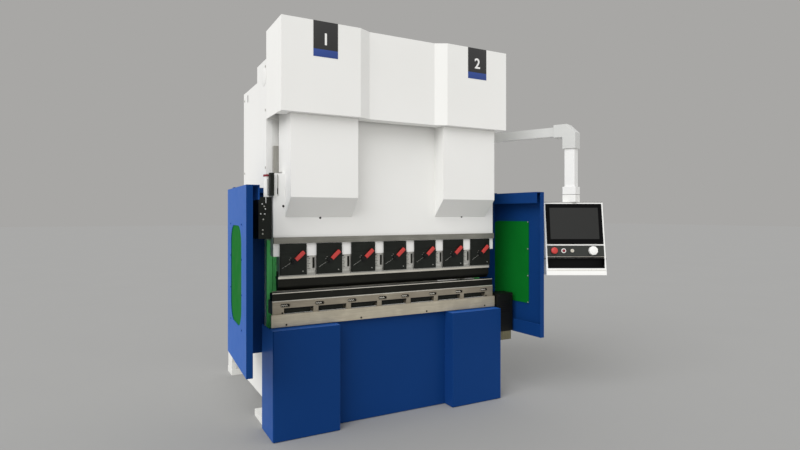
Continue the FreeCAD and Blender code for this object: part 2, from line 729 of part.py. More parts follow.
def die_rail():
    """The rail under the die: seven wedge windows and eight adjusting pockets."""
    back_y = RAIL_FRONT_Y + RAIL_DEPTH
    section = [
        (RAIL_FRONT_Y, TABLE_TOP_Z),
        (back_y, TABLE_TOP_Z),
        (back_y, RAIL_TOP_Z),
        (RAIL_FRONT_Y + RAIL_CHAMFER, RAIL_TOP_Z),
        (RAIL_FRONT_Y, RAIL_TOP_Z - RAIL_CHAMFER),
    ]
    rail = prism_x(section, -RAIL_WIDTH / 2, RAIL_WIDTH / 2)
    cuts = []
    for x in rail_windows():
        cuts.append(block(
            (x - RAIL_WINDOW_WIDTH / 2, x + RAIL_WINDOW_WIDTH / 2),
            (RAIL_FRONT_Y - 1, RAIL_FRONT_Y + RAIL_WINDOW_DEPTH),
            (TABLE_TOP_Z - 1, TABLE_TOP_Z + RAIL_WINDOW_HEIGHT),
        ))
    post_offset = RAIL_WINDOW_WIDTH / 2 - (RAIL_WINDOW_PITCH - RAIL_WINDOW_WIDTH) / 4
    pocket_z = TABLE_TOP_Z + POCKET_RISE
    pocket_xs = [x + math.copysign(post_offset, x) for x in rail_windows() if x != 0]
    pocket_xs += [-post_offset, post_offset]
    for x in pocket_xs:
        corners = slot_corners(
            (x - POCKET_WIDTH / 2, x + POCKET_WIDTH / 2),
            (pocket_z - POCKET_HEIGHT / 2, pocket_z + POCKET_HEIGHT / 2),
        )
        cuts.append(prism_y(corners, RAIL_FRONT_Y - 1, RAIL_FRONT_Y + POCKET_DEPTH))
    return rail.cut(cuts)


def crowning_wedges():
    """A pair of sliding wedges in each window of the rail."""
    wedges = []
    back_y = RAIL_FRONT_Y + RAIL_WINDOW_DEPTH - FACE_CLEARANCE
    front_y = back_y - WEDGE_DEPTH
    top_z = TABLE_TOP_Z + RAIL_WINDOW_HEIGHT - FACE_CLEARANCE
    middle_z = TABLE_TOP_Z + RAIL_WINDOW_HEIGHT / 2
    low_z = middle_z - WEDGE_RISE / 2
    high_z = middle_z + WEDGE_RISE / 2
    for x in rail_windows():
        left = x - WEDGE_WIDTH / 2
        right = x + WEDGE_WIDTH / 2
        lower = [(left, TABLE_TOP_Z), (right, TABLE_TOP_Z), (right, high_z), (left, low_z)]
        upper = [
            (left, low_z + FACE_CLEARANCE),
            (right, high_z + FACE_CLEARANCE),
            (right, top_z),
            (left, top_z),
        ]
        wedges += [prism_y(lower, front_y, back_y), prism_y(upper, front_y, back_y)]
    return wedges


def lower_die():
    """The die on the rail, with its bending groove under the punch."""
    front_y = TOOL_LINE_Y - DIE_DEPTH / 2
    back_y = TOOL_LINE_Y + DIE_DEPTH / 2
    section = [
        (front_y, RAIL_TOP_Z),
        (back_y, RAIL_TOP_Z),
        (back_y, DIE_TOP_Z - DIE_EDGE),
        (back_y - DIE_EDGE, DIE_TOP_Z),
        (TOOL_LINE_Y + DIE_GROOVE_WIDTH / 2, DIE_TOP_Z),
        (TOOL_LINE_Y, DIE_TOP_Z - DIE_GROOVE_DEPTH, DIE_GROOVE_RADIUS),
        (TOOL_LINE_Y - DIE_GROOVE_WIDTH / 2, DIE_TOP_Z),
        (front_y + DIE_EDGE, DIE_TOP_Z),
        (front_y, DIE_TOP_Z - DIE_EDGE),
    ]
    return prism_x(section, -RAIL_WIDTH / 2, RAIL_WIDTH / 2)


def punch():
    """The upper tool: tang, ground shoulder and gooseneck blade."""
    front_y = RAM_FRONT_Y + PUNCH_SETBACK
    back_y = front_y + SHOULDER_DEPTH
    tip = PUNCH_TIP_WIDTH / 2
    blade_front_y = front_y + BLADE_FRONT_STEP
    blade_back_y = back_y - BLADE_BACK_STEP
    belly_z = TIP_Z + BELLY_RISE
    section = [
        (TOOL_LINE_Y - tip, TIP_Z),
        (TOOL_LINE_Y + tip, TIP_Z),
        (TOOL_LINE_Y + BELLY_REACH, belly_z, BELLY_RADIUS),
        (blade_back_y, SHOULDER_Z, BLADE_BACK_RADIUS),
        (back_y, SHOULDER_Z),
        (back_y, ADAPTER_Z),
        (TOOL_LINE_Y + TANG_WIDTH / 2, ADAPTER_Z),
        (TOOL_LINE_Y + TANG_WIDTH / 2, ADAPTER_Z + TANG_HEIGHT),
        (TOOL_LINE_Y - TANG_WIDTH / 2, ADAPTER_Z + TANG_HEIGHT),
        (TOOL_LINE_Y - TANG_WIDTH / 2, ADAPTER_Z),
        (front_y, ADAPTER_Z),
        (front_y, SHOULDER_Z),
        (blade_front_y, SHOULDER_Z),
        (blade_front_y, belly_z, BLADE_FRONT_RADIUS),
    ]
    return prism_x(section, -PUNCH_WIDTH / 2, PUNCH_WIDTH / 2)


def stations():
    """The x position of each clamp."""
    return row(STATION_COUNT, STATION_PITCH)


def adapters():
    """The blocks under the ram that hold the punch's tang, with a groove and a ledge beside each clamp."""
    blocks = []
    reach = STATION_PITCH - ADAPTER_GAP - ADAPTER_LEFT
    groove_top_z = RAM_Z - ADAPTER_GROOVE_DROP
    ledge_z = ADAPTER_Z + LEDGE_RISE
    slot = TANG_WIDTH / 2 + TANG_CLEARANCE
    tang_slot = block(
        (-RAM_WIDTH / 2, RAM_WIDTH / 2),
        (TOOL_LINE_Y - slot, TOOL_LINE_Y + slot),
        (ADAPTER_Z - 1, ADAPTER_Z + TANG_HEIGHT + TANG_CLEARANCE),
    )
    for x in stations():
        left = x - ADAPTER_LEFT
        right = x + reach
        if x == stations()[-1]:
            body = block((left, x + ADAPTER_LEFT), (RAM_FRONT_Y, RAM_BACK_Y), (ADAPTER_Z, RAM_Z))
            blocks.append(body.cut(tang_slot))
            continue
        body = block((left, right), (RAM_FRONT_Y, RAM_BACK_Y), (ADAPTER_Z, RAM_Z))
        ledge = block(
            (x + ADAPTER_LEFT, right),
            (RAM_FRONT_Y - LEDGE_DEPTH, RAM_FRONT_Y),
            (ledge_z, ledge_z + LEDGE_HEIGHT),
        )
        groove_right = right - ADAPTER_GROOVE_MARGIN
        groove = block(
            (groove_right - ADAPTER_GROOVE_WIDTH, groove_right),
            (RAM_FRONT_Y - 1, RAM_FRONT_Y + ADAPTER_GROOVE_DEPTH),
            (groove_top_z - ADAPTER_GROOVE_HEIGHT, groove_top_z),
        )
        blocks.append(body.fuse(ledge).removeSplitter().cut([tang_slot, groove]))
    return blocks


def clamp_plates():
    """The black clamp plates in front of the adapters, each with its lever's pin."""
    plates = []
    back_y = RAM_FRONT_Y
    front_y = back_y - CLAMP_THICKNESS
    low_z = ADAPTER_Z + CLAMP_RISE
    high_z = low_z + CLAMP_HEIGHT
    pin_front_y = front_y - FACE_CLEARANCE - LEVER_THICKNESS - LEVER_PIN_END
    for x in stations():
        side = (x - CLAMP_WIDTH / 2, x + CLAMP_WIDTH / 2)
        plate = block(side, (front_y, back_y), (low_z, high_z))
        step = block(
            (side[0] - 1, side[1] + 1),
            (front_y - 1, front_y + CLAMP_STEP_DEPTH),
            (high_z - CLAMP_STEP_HEIGHT, high_z + 1),
        )
        pin = rod(
            LEVER_PIN_RADIUS,
            point(x, pin_front_y, low_z + LEVER_RISE),
            point(x, back_y, low_z + LEVER_RISE),
        )
        plates.append(plate.cut(step).fuse(pin).removeSplitter())
    return plates


def clamp_lever(x):
    """One clamp lever: a hub on the pin and a handle, pointing up to the right at rest."""
    back_y = RAM_FRONT_Y - CLAMP_THICKNESS - FACE_CLEARANCE
    front_y = back_y - LEVER_THICKNESS
    pivot = point(x, front_y, ADAPTER_Z + CLAMP_RISE + LEVER_RISE)
    half = LEVER_WIDTH / 2
    handle = prism_y(
        [
            (x, pivot.z - half),
            (x + LEVER_LENGTH, pivot.z - half, LEVER_TIP_RADIUS),
            (x + LEVER_LENGTH, pivot.z + half, LEVER_TIP_RADIUS),
            (x, pivot.z + half),
        ],
        front_y,
        back_y,
    )
    hub = rod(LEVER_HUB_RADIUS, pivot, pivot + Y_AXIS * LEVER_THICKNESS)
    lever = handle.fuse(hub)
    bore_radius = LEVER_PIN_RADIUS + PIVOT_CLEARANCE
    bore = rod(bore_radius, pivot - Y_AXIS, pivot + Y_AXIS * (LEVER_THICKNESS + 1))
    lever = lever.cut(bore)
    lever.rotate(pivot, Y_AXIS, -LEVER_ANGLE)
    return lever


def ram_plate():
    """The ram: wide below, narrower where it goes up into the hood, with cheeks behind."""
    half = RAM_WIDTH / 2
    neck = RAM_NECK_WIDTH / 2
    corners = [
        (-half, RAM_Z),
        (half, RAM_Z),
        (half, RAM_NECK_Z, RAM_CORNER_RADIUS),
        (neck, RAM_NECK_Z),
        (neck, RAM_TOP_Z),
        (-neck, RAM_TOP_Z),
        (-neck, RAM_NECK_Z),
        (-half, RAM_NECK_Z, RAM_CORNER_RADIUS),
    ]
    plate = prism_y(corners, RAM_FRONT_Y, RAM_BACK_Y)
    cheek = block(
        (neck - CHEEK_THICKNESS, neck),
        (RAM_BACK_Y, RAM_BACK_Y + CHEEK_DEPTH),
        (RAM_NECK_Z + CHEEK_GAP, RAM_TOP_Z),
    )
    slot = block(
        (SLOT_X - SLOT_WIDTH / 2, SLOT_X + SLOT_WIDTH / 2),
        (RAM_FRONT_Y - 1, RAM_FRONT_Y + SLOT_DEPTH),
        (RAM_Z + SLOT_RISE, RAM_Z + SLOT_RISE + SLOT_HEIGHT),
    )
    plate = plate.fuse([cheek, mirrored(cheek)])
    return plate.cut([slot, mirrored(slot)]).removeSplitter()


def ram_strip():
    """The bare steel bar across the ram above the clamps."""
    half = RAM_WIDTH / 2
    low_z = RAM_Z + STRIP_RISE
    return block((-half, half), (RAM_FRONT_Y - STRIP_THICKNESS, RAM_FRONT_Y), (low_z, low_z + STRIP_HEIGHT))


def screw_housing():
    """The sheet-metal box over a ball screw on the ram's front, sloped underneath, open on top."""
    foot_z = RAM_Z + HOUSING_FOOT_RISE
    face_z = RAM_Z + HOUSING_FACE_RISE
    wall = HOUSING_SHEET
    slope = (face_z - foot_z) / HOUSING_DEPTH
    shell = [
        (RAM_FRONT_Y, foot_z),
        (HOUSING_FRONT_Y, face_z),
        (HOUSING_FRONT_Y, HOUSING_TOP_Z),
        (RAM_FRONT_Y, HOUSING_TOP_Z),
    ]
    inner_drop = wall * math.sqrt(1 + slope * slope)
    hollow = [
        (RAM_FRONT_Y + 1, foot_z + inner_drop - slope),
        (HOUSING_FRONT_Y + wall, face_z - slope * wall + inner_drop),
        (HOUSING_FRONT_Y + wall, HOUSING_TOP_Z + 1),
        (RAM_FRONT_Y + 1, HOUSING_TOP_Z + 1),
    ]
    box = prism_x(shell, HOUSING_INNER_X, HOUSING_OUTER_X)
    return box.cut(prism_x(hollow, HOUSING_INNER_X + wall, HOUSING_OUTER_X - wall))


def scale_bar():
    """The position scale on the ram's left side, at its upper corner."""
    side_x = -RAM_WIDTH / 2
    front_y = RAM_FRONT_Y - SCALE_BAR_OVERHANG
    return block(
        (side_x - SCALE_BAR_WIDTH, side_x),
        (front_y, front_y + SCALE_BAR_DEPTH),
        (RAM_NECK_Z - SCALE_BAR_HEIGHT, RAM_NECK_Z),
    )


def screw_drives():
    """The ball screws under the top plate and the motors on it."""
    solids = []
    tail_z = RAM_Z + NUT_RISE - SCREW_TAIL
    top_z = TOP_PLATE_Z + TOP_PLATE_THICKNESS
    half = MOTOR_SIZE / 2
    motor_span_y = (TOP_PLATE_FRONT_Y, TOP_PLATE_FRONT_Y + MOTOR_SIZE)
    for x in (-SCREW_X, SCREW_X):
        solids.append(rod(SCREW_RADIUS, point(x, SCREW_Y, tail_z), point(x, SCREW_Y, TOP_PLATE_Z)))
        corners = rounded_box_corners((x - half, x + half), motor_span_y, MOTOR_CORNER)
        solids.append(prism_z(corners, top_z, top_z + MOTOR_HEIGHT))
    return solids


def screw_nuts():
    """The nut brackets on the ram's front, inside the housings."""
    nuts = []
    low_z = RAM_Z + NUT_RISE
    for x in (-SCREW_X, SCREW_X):
        body = block(
            (x - NUT_WIDTH / 2, x + NUT_WIDTH / 2),
            (RAM_FRONT_Y - NUT_DEPTH, RAM_FRONT_Y),
            (low_z, low_z + NUT_HEIGHT),
        )
        bore = rod(
            SCREW_RADIUS + NUT_CLEARANCE,
            point(x, SCREW_Y, low_z - 1),
            point(x, SCREW_Y, low_z + NUT_HEIGHT + 1),
        )
        nuts.append(body.cut(bore))
    return nuts


def guide_section(clearance):
    """The waisted section of a guide rail on the right frame, as (x, y), grown by clearance."""
    middle = FRAME_INNER_X + FRAME_THICKNESS / 2
    half = GUIDE_RAIL_WIDTH / 2 + clearance
    waist = half - GUIDE_RAIL_GROOVE
    flank_turn = math.atan2(GUIDE_RAIL_GROOVE, GUIDE_FLANK)
    flank_shift = clearance * math.tan(flank_turn / 2)
    front_y = FRAME_FRONT_Y - GUIDE_RAIL_DEPTH - clearance
    waist_front_y = FRAME_FRONT_Y - GUIDE_WAIST_FRONT + flank_shift
    waist_back_y = FRAME_FRONT_Y - GUIDE_WAIST_BACK - flank_shift
    return [
        (middle - half, FRAME_FRONT_Y),
        (middle - half, waist_back_y + GUIDE_FLANK),
        (middle - waist, waist_back_y),
        (middle - waist, waist_front_y),
        (middle - half, waist_front_y - GUIDE_FLANK),
        (middle - half, front_y),
        (middle + half, front_y),
        (middle + half, waist_front_y - GUIDE_FLANK),
        (middle + waist, waist_front_y),
        (middle + waist, waist_back_y),
        (middle + half, waist_back_y + GUIDE_FLANK),
        (middle + half, FRAME_FRONT_Y),
    ]


def guide_rails():
    """The linear rails on the front edges of the side frames."""
    low_z = RAM_Z + GUIDE_BLOCK_RISES[0] - GUIDE_RUNOUT
    high_z = RAM_Z + GUIDE_BLOCK_RISES[-1] + GUIDE_BLOCK_HEIGHT + STROKE + GUIDE_RUNOUT
    rail = prism_z(guide_section(0.0), low_z, high_z)
    return [mirrored(rail), rail]


def guide_blocks():
    """The carriages on the ram's back that run on the rails."""
    middle = FRAME_INNER_X + FRAME_THICKNESS / 2
    blocks = []
    for rise in GUIDE_BLOCK_RISES:
        low_z = RAM_Z + rise
        body = block(
            (middle - GUIDE_BLOCK_WIDTH / 2, middle + GUIDE_BLOCK_WIDTH / 2),
            (RAM_BACK_Y, RAM_BACK_Y + GUIDE_BLOCK_REACH),
            (low_z, low_z + GUIDE_BLOCK_HEIGHT),
        )
        channel = prism_z(guide_section(FACE_CLEARANCE), low_z - 1, low_z + GUIDE_BLOCK_HEIGHT + 1)
        body = body.cut(channel)
        blocks += [mirrored(body), body]
    return blocks


def hood_plan(inset):
    """The hood's plan: two boxes forward, the middle set back, as (x, y), shrunk by inset."""
    half = COVER_OUTER_X - inset
    rear_y = FRAME_FRONT_Y - HOOD_SEAM - inset
    bend = math.atan2(HOOD_CENTER_Y - HOOD_FRONT_Y, HOOD_BEND_OUTER_X - HOOD_BEND_INNER_X)
    slant = inset * math.tan(bend / 2)
    return [
        (half, rear_y),
        (-half, rear_y),
        (-half, HOOD_FRONT_Y + inset),
        (-HOOD_BEND_OUTER_X - slant, HOOD_FRONT_Y + inset),
        (-HOOD_BEND_INNER_X - slant, HOOD_CENTER_Y + inset),
        (HOOD_BEND_INNER_X + slant, HOOD_CENTER_Y + inset),
        (HOOD_BEND_OUTER_X + slant, HOOD_FRONT_Y + inset),
        (half, HOOD_FRONT_Y + inset),
    ]


def hood():
    """The white top hood: a folded shell, open below apart from a lip along the front."""
    shell = prism_z(hood_plan(0.0), HOOD_BOTTOM_Z, HOOD_TOP_Z)
    hollow = prism_z(hood_plan(SHEET), HOOD_BOTTOM_Z + SHEET, HOOD_TOP_Z - SHEET)
    lip_back_y = HOOD_FRONT_Y + HOOD_LIP_DEPTH
    mouth = block(
        (-COVER_OUTER_X + SHEET, COVER_OUTER_X - SHEET),
        (lip_back_y, FRAME_FRONT_Y - HOOD_SEAM - SHEET),
        (HOOD_BOTTOM_Z - 1, HOOD_BOTTOM_Z + SHEET + 1),
    )
    beam_room = block(
        (-FRAME_INNER_X, FRAME_INNER_X),
        (lip_back_y, FRAME_FRONT_Y + 1),
        (HOOD_BOTTOM_Z - 1, TOP_PLATE_Z + TOP_PLATE_THICKNESS),
    )
    housing_room = block(
        (HOUSING_INNER_X - LIP_CLEARANCE, HOUSING_OUTER_X + LIP_CLEARANCE),
        (HOUSING_FRONT_Y - LIP_CLEARANCE, lip_back_y + 1),
        (HOOD_BOTTOM_Z - 1, HOOD_BOTTOM_Z + SHEET + 1),
    )
    return shell.cut([hollow, mouth, beam_room, housing_room, mirrored(housing_room)])


def safety_strips():
    """The green strips on the front edges of each side, beside the tools."""
    front_y = FRAME_FRONT_Y - SAFETY_STRIP_DEPTH
    outer = block(
        (COVER_OUTER_X - SAFETY_STRIP_WIDTH, COVER_OUTER_X),
        (front_y, FRAME_FRONT_Y),
        (SAFETY_STRIP_LOW_Z, SAFETY_STRIP_TOP_Z),
    )
    inner_x = FRAME_INNER_X + INNER_STRIP_INSET
    inner = block(
        (inner_x, inner_x + INNER_STRIP_WIDTH),
        (front_y, FRAME_FRONT_Y),
        (INNER_STRIP_LOW_Z, SAFETY_STRIP_TOP_Z),
    )
    return [mirrored(outer), mirrored(inner), inner, outer]


def guard_place(shape):
    """Moves a guard piece drawn along +Y at the origin to its place on the left side."""
    placed = turned(shape, point(0, 0, 0), -GUARD_SPLAY)
    return moved(placed, x=-GUARD_FRONT_X, y=GUARD_FRONT_Y)


def window_corners():
    """The guard window's rounded opening as (y, z)."""
    return rounded_box_corners(
        (WINDOW_FRONT, WINDOW_FRONT + WINDOW_LENGTH),
        (WINDOW_LOW_Z, WINDOW_HIGH_Z),
        WINDOW_CORNER,
    )


def pane_corners():
    """The pane's outline as (y, z): it laps over the opening and is square in front."""
    front = WINDOW_FRONT - PANE_LAP
    rear = WINDOW_FRONT + WINDOW_LENGTH + PANE_LAP
    low_z = WINDOW_LOW_Z - PANE_LAP
    high_z = WINDOW_HIGH_Z + PANE_LAP
    return [
        (front, low_z),
        (rear, low_z, PANE_REAR_CORNER),
        (rear, high_z, PANE_REAR_CORNER),
        (front, high_z),
    ]


def guard_panel():
    """The blue guard panel, left-hand side: a sheet with lips all round, returned above and below."""
    z_span = (GUARD_LOW_Z, GUARD_HIGH_Z)
    rear = GUARD_LENGTH
    return_span = (0, GUARD_WALL_Y - GUARD_FRONT_Y - GUARD_RETURN_GAP)
    sheet = block((0, SHEET), (0, rear), z_span)
    lips = [
        block((0, GUARD_FRONT_LIP), (0, SHEET), z_span),
        block((0, GUARD_REAR_LIP), (rear - SHEET, rear), z_span),
        block((0, GUARD_TOP_LIP), (0, rear), (GUARD_HIGH_Z - SHEET, GUARD_HIGH_Z)),
        block((0, GUARD_BOTTOM_LIP), (0, rear), (GUARD_LOW_Z, GUARD_LOW_Z + SHEET)),
        block(
            (GUARD_TOP_LIP - SHEET, GUARD_TOP_LIP),
            return_span,
            (GUARD_HIGH_Z - GUARD_TOP_RETURN, GUARD_HIGH_Z),
        ),
        block(
            (GUARD_BOTTOM_LIP - SHEET, GUARD_BOTTOM_LIP),
            return_span,
            (GUARD_LOW_Z, GUARD_LOW_Z + GUARD_BOTTOM_RETURN),
        ),
    ]
    panel = sheet.fuse(lips).cut(prism_x(window_corners(), -1, SHEET + 1))
    return guard_place(panel.removeSplitter())


def guard_pane():
    """The green window behind the guard's cut-out."""
    return guard_place(prism_x(pane_corners(), SHEET, SHEET + PANE_THICKNESS))


def guard_wall(panel):
    """The blue wall from the guard panel to the side of the machine, folded forward along its top."""
    x_span = (-GUARD_FRONT_X, -COVER_OUTER_X)
    lip_front_y = GUARD_WALL_Y - GUARD_WALL_LIP_DEPTH
    top_z = GUARD_HIGH_Z + GUARD_WALL_RISE
    wall = block(x_span, (GUARD_WALL_Y, GUARD_WALL_Y + GUARD_WALL_THICKNESS), (GUARD_LOW_Z + SHEET, top_z))
    fold = block(x_span, (lip_front_y, GUARD_WALL_Y), (top_z - SHEET, top_z))
    drop = block(x_span, (lip_front_y, lip_front_y + SHEET), (top_z - GUARD_WALL_LIP_HEIGHT, top_z))
    room = block(
        (-GUARD_CUT_MARGIN, SHEET + PANE_THICKNESS),
        (0, GUARD_LENGTH),
        (0, GUARD_HIGH_Z + GUARD_CUT_MARGIN),
    )
    return wall.fuse([fold, drop]).removeSplitter().cut([guard_place(room), panel])


def valve_block():
    """The dark valve block beside the ram, its foot on the left cover's front edge."""
    inner_x = -VALVE_INNER_X
    outer_x = inner_x - VALVE_WIDTH
    foot_x = VALVE_FOOT_INSET - COVER_OUTER_X
    foot_y = RAM_BACK_Y + VALVE_FOOT_GAP
    plan = [
        (outer_x, VALVE_FRONT_Y),
        (inner_x, VALVE_FRONT_Y),
        (inner_x, foot_y),
        (foot_x, foot_y),
        (foot_x, FRAME_FRONT_Y),
        (outer_x, FRAME_FRONT_Y),
    ]
    return prism_z(plan, VALVE_LOW_Z, VALVE_LOW_Z + VALVE_HEIGHT)


def oil_cup():
    """The white oil cup with its cap, standing on the valve block."""
    low = point(-VALVE_INNER_X - OIL_CUP_INSET, VALVE_FRONT_Y + OIL_CUP_INSET, VALVE_LOW_Z + VALVE_HEIGHT)
    middle = low + Z_AXIS * OIL_CUP_HEIGHT
    cup = rod(OIL_CUP_RADIUS, low, middle)
    cap = rod(OIL_CAP_RADIUS, middle, middle + Z_AXIS * OIL_CAP_HEIGHT)
    return cup.fuse(cap)


def drive_box():
    """The black box and its foot at the right end of the table."""
    left = FRONT_COVER_HALF_WIDTH
    right = left + DRIVE_BOX_WIDTH
    y_span = (DRIVE_BOX_FRONT_Y, DRIVE_BOX_FRONT_Y + DRIVE_BOX_DEPTH)
    plan = [
        (left, y_span[0]),
        (right, y_span[0], DRIVE_BOX_CORNER),
        (right, y_span[1], DRIVE_BOX_CORNER),
        (left, y_span[1]),
    ]
    box = prism_z(plan, DRIVE_BOX_LOW_Z, DRIVE_BOX_LOW_Z + DRIVE_BOX_HEIGHT)
    foot = block(
        (left, left + DRIVE_FOOT_WIDTH),
        (y_span[0], y_span[0] + DRIVE_FOOT_DEPTH),
        (DRIVE_BOX_LOW_Z - DRIVE_FOOT_HEIGHT, DRIVE_BOX_LOW_Z),
    )
    return box.fuse(foot).removeSplitter()


def arm_levels():
    """The lowest and highest z of the arm's tube."""
    return (ARM_MIDDLE_Z - ARM_TUBE / 2, ARM_MIDDLE_Z + ARM_TUBE / 2)


def arm_bracket():
    """The arm's bracket on the right side: base plate, two lugs and the pin."""
    low_z, high_z = arm_levels()
    base = block(
        (COVER_OUTER_X, COVER_OUTER_X + BRACKET_THICKNESS),
        (ARM_PIVOT_Y - BRACKET_WIDTH / 2, ARM_PIVOT_Y + BRACKET_WIDTH / 2),
        (ARM_MIDDLE_Z - BRACKET_HEIGHT / 2, ARM_MIDDLE_Z + BRACKET_HEIGHT / 2),
    )
    lugs = []
    lower_lug_z = low_z - FACE_CLEARANCE - LUG_THICKNESS
    upper_lug_z = high_z + FACE_CLEARANCE
    for z in (lower_lug_z, upper_lug_z):
        eye = point(ARM_PIVOT_X, ARM_PIVOT_Y, z)
        lugs.append(rod(LUG_RADIUS, eye, eye + Z_AXIS * LUG_THICKNESS))
        lugs.append(block(
            (COVER_OUTER_X, ARM_PIVOT_X),
            (ARM_PIVOT_Y - LUG_RADIUS, ARM_PIVOT_Y + LUG_RADIUS),
            (z, z + LUG_THICKNESS),
        ))
    pin = rod(
        ARM_PIN_RADIUS,
        point(ARM_PIVOT_X, ARM_PIVOT_Y, lower_lug_z),
        point(ARM_PIVOT_X, ARM_PIVOT_Y, upper_lug_z + LUG_THICKNESS),
    )
    return base.fuse(lugs + [pin]).removeSplitter()


def pendant_arm():
    """The swinging arm: knuckle, square tube and cast elbow."""
    low_z, high_z = arm_levels()
    pivot = point(ARM_PIVOT_X, ARM_PIVOT_Y, low_z)
    half = ARM_TUBE / 2
    elbow_half = ELBOW_SIZE / 2
    far = ARM_PIVOT_X + ARM_REACH
    top_z = ARM_MIDDLE_Z + ELBOW_RISE
    elbow_start = far + elbow_half - ELBOW_LENGTH
    tube = block(
        (ARM_PIVOT_X, elbow_start),
        (ARM_PIVOT_Y - half, ARM_PIVOT_Y + half),
        (low_z, high_z),
    )
    knuckle = rod(ARM_KNUCKLE_RADIUS, pivot, point(ARM_PIVOT_X, ARM_PIVOT_Y, high_z))
    elbow_side = [
        (elbow_start, ARM_MIDDLE_Z - ELBOW_UNDERSIDE),
        (elbow_start, top_z),
        (far + elbow_half - ELBOW_CHAMFER, top_z),
        (far + elbow_half, top_z - ELBOW_CHAMFER),
        (far + elbow_half, ARM_MIDDLE_Z - ELBOW_DROP),
        (far - elbow_half, ARM_MIDDLE_Z - ELBOW_DROP),
        (far - elbow_half, ARM_MIDDLE_Z - ELBOW_UNDERSIDE, ELBOW_INNER_RADIUS),
    ]
    elbow = prism_y(elbow_side, ARM_PIVOT_Y - elbow_half, ARM_PIVOT_Y + elbow_half)
    bore = rod(
        ARM_PIN_RADIUS + PIVOT_CLEARANCE,
        point(ARM_PIVOT_X, ARM_PIVOT_Y, low_z - 1),
        point(ARM_PIVOT_X, ARM_PIVOT_Y, high_z + 1),
    )
    arm = tube.fuse([knuckle, elbow]).removeSplitter().cut(bore)
    return turned(arm, pivot, ARM_ANGLE)


def swivel_point(z):
    """A point on the pendant's upright axis."""
    angle = math.radians(ARM_ANGLE)
    return point(
        ARM_PIVOT_X + ARM_REACH * math.cos(angle),
        ARM_PIVOT_Y + ARM_REACH * math.sin(angle),
        z,
    )


def square_post(size, low_z, high_z):
    """A square upright centred on the pendant's axis, in line with the arm."""
    centre = swivel_point(low_z)
    half = size / 2
    corners = rounded_box_corners(
        (centre.x - half, centre.x + half),
        (centre.y - half, centre.y + half),
        POST_EDGE_RADIUS,
    )
    return turned(prism_z(corners, low_z, high_z), centre, ARM_ANGLE)


def pendant_tube():
    """The upright tube below the elbow, with the fixed collar of the swivel."""
    collar_top_z = SWIVEL_Z + COLLAR_HEIGHT
    tube = square_post(DROP_TUBE, collar_top_z, ARM_MIDDLE_Z - ELBOW_DROP)
    collar = square_post(COLLAR_SIZE, SWIVEL_Z, collar_top_z)
    return tube.fuse(collar)


def panel_front(z):
    """The y of the leaning front at a height, with the panel facing -Y at the origin."""
    fall = (PANEL_TOP_Z - z) / (PANEL_TOP_Z - PANEL_BOTTOM_Z)
    return -(PANEL_TOP_FRONT + PANEL_LEAN * fall)


def panel_place(shape):
    """Turns a panel piece to face the operator and moves it to the pendant's axis."""
    placed = turned(shape, point(0, 0, 0), PANEL_ANGLE)
    axis = swivel_point(0)
    return moved(placed, x=axis.x, y=axis.y)


def panel_slab(low_z, high_z, half_width, thickness):
    """A flat slab on the leaning front."""
    corners = [
        (panel_front(low_z), low_z),
        (panel_front(high_z), high_z),
        (panel_front(high_z) - thickness, high_z),
        (panel_front(low_z) - thickness, low_z),
    ]
    return prism_x(corners, -half_width, half_width)


def panel_box():
    """The pendant's housing with its moving collar, and the tray recess below the buttons."""
    half = PANEL_WIDTH / 2
    corners = [
        (PANEL_BACK, PANEL_BOTTOM_Z, PANEL_EDGE_RADIUS),
        (PANEL_BACK, PANEL_TOP_Z, PANEL_EDGE_RADIUS),
        (panel_front(PANEL_TOP_Z), PANEL_TOP_Z),
        (panel_front(PANEL_BOTTOM_Z), PANEL_BOTTOM_Z),
    ]
    body = prism_x(corners, -half, half)
    inner = half - GLASS_MARGIN
    recess = prism_x(
        [
            (panel_front(TRAY_BOTTOM_Z) - TRAY_CUT_MARGIN, TRAY_BOTTOM_Z),
            (panel_front(TRAY_BOTTOM_Z) + TRAY_DEPTH, TRAY_BOTTOM_Z),
            (panel_front(TRAY_TOP_Z) + TRAY_DEPTH, TRAY_TOP_Z),
            (panel_front(TRAY_TOP_Z) - TRAY_CUT_MARGIN, TRAY_TOP_Z),
        ],
        -inner,
        inner,
    )
    collar = square_post(COLLAR_SIZE, PANEL_TOP_Z, SWIVEL_Z - FACE_CLEARANCE)
    return panel_place(body.cut(recess)).fuse(collar).removeSplitter()


def panel_glass():
    """The black display glass and the black button strip."""
    half = PANEL_WIDTH / 2 - GLASS_MARGIN
    display = panel_slab(GLASS_BOTTOM_Z, GLASS_TOP_Z, half, GLASS_THICKNESS)
    strip = panel_slab(STRIP_BOTTOM_Z, STRIP_TOP_Z, half, GLASS_THICKNESS)
    return [panel_place(display), panel_place(strip)]


def panel_controls():
    """The stop button, ring button, key button and hand wheel on the strip."""
    lean = math.atan2(PANEL_LEAN, PANEL_TOP_Z - PANEL_BOTTOM_Z)
    outward = point(0, -math.cos(lean), math.sin(lean))
    sizes = (
        (STOP_X, STOP_RADIUS, STOP_LENGTH),
        (RING_X, RING_RADIUS, BUTTON_LENGTH),
        (KEY_X, KEY_RADIUS, BUTTON_LENGTH),
        (KNOB_X, KNOB_RADIUS, KNOB_LENGTH),
    )
    solids = []
    for x, radius, length in sizes:
        base = point(x, panel_front(BUTTON_Z), BUTTON_Z) + outward * (GLASS_THICKNESS * math.cos(lean))
        solids.append(panel_place(rod(radius, base, base + outward * length)))
    return solids


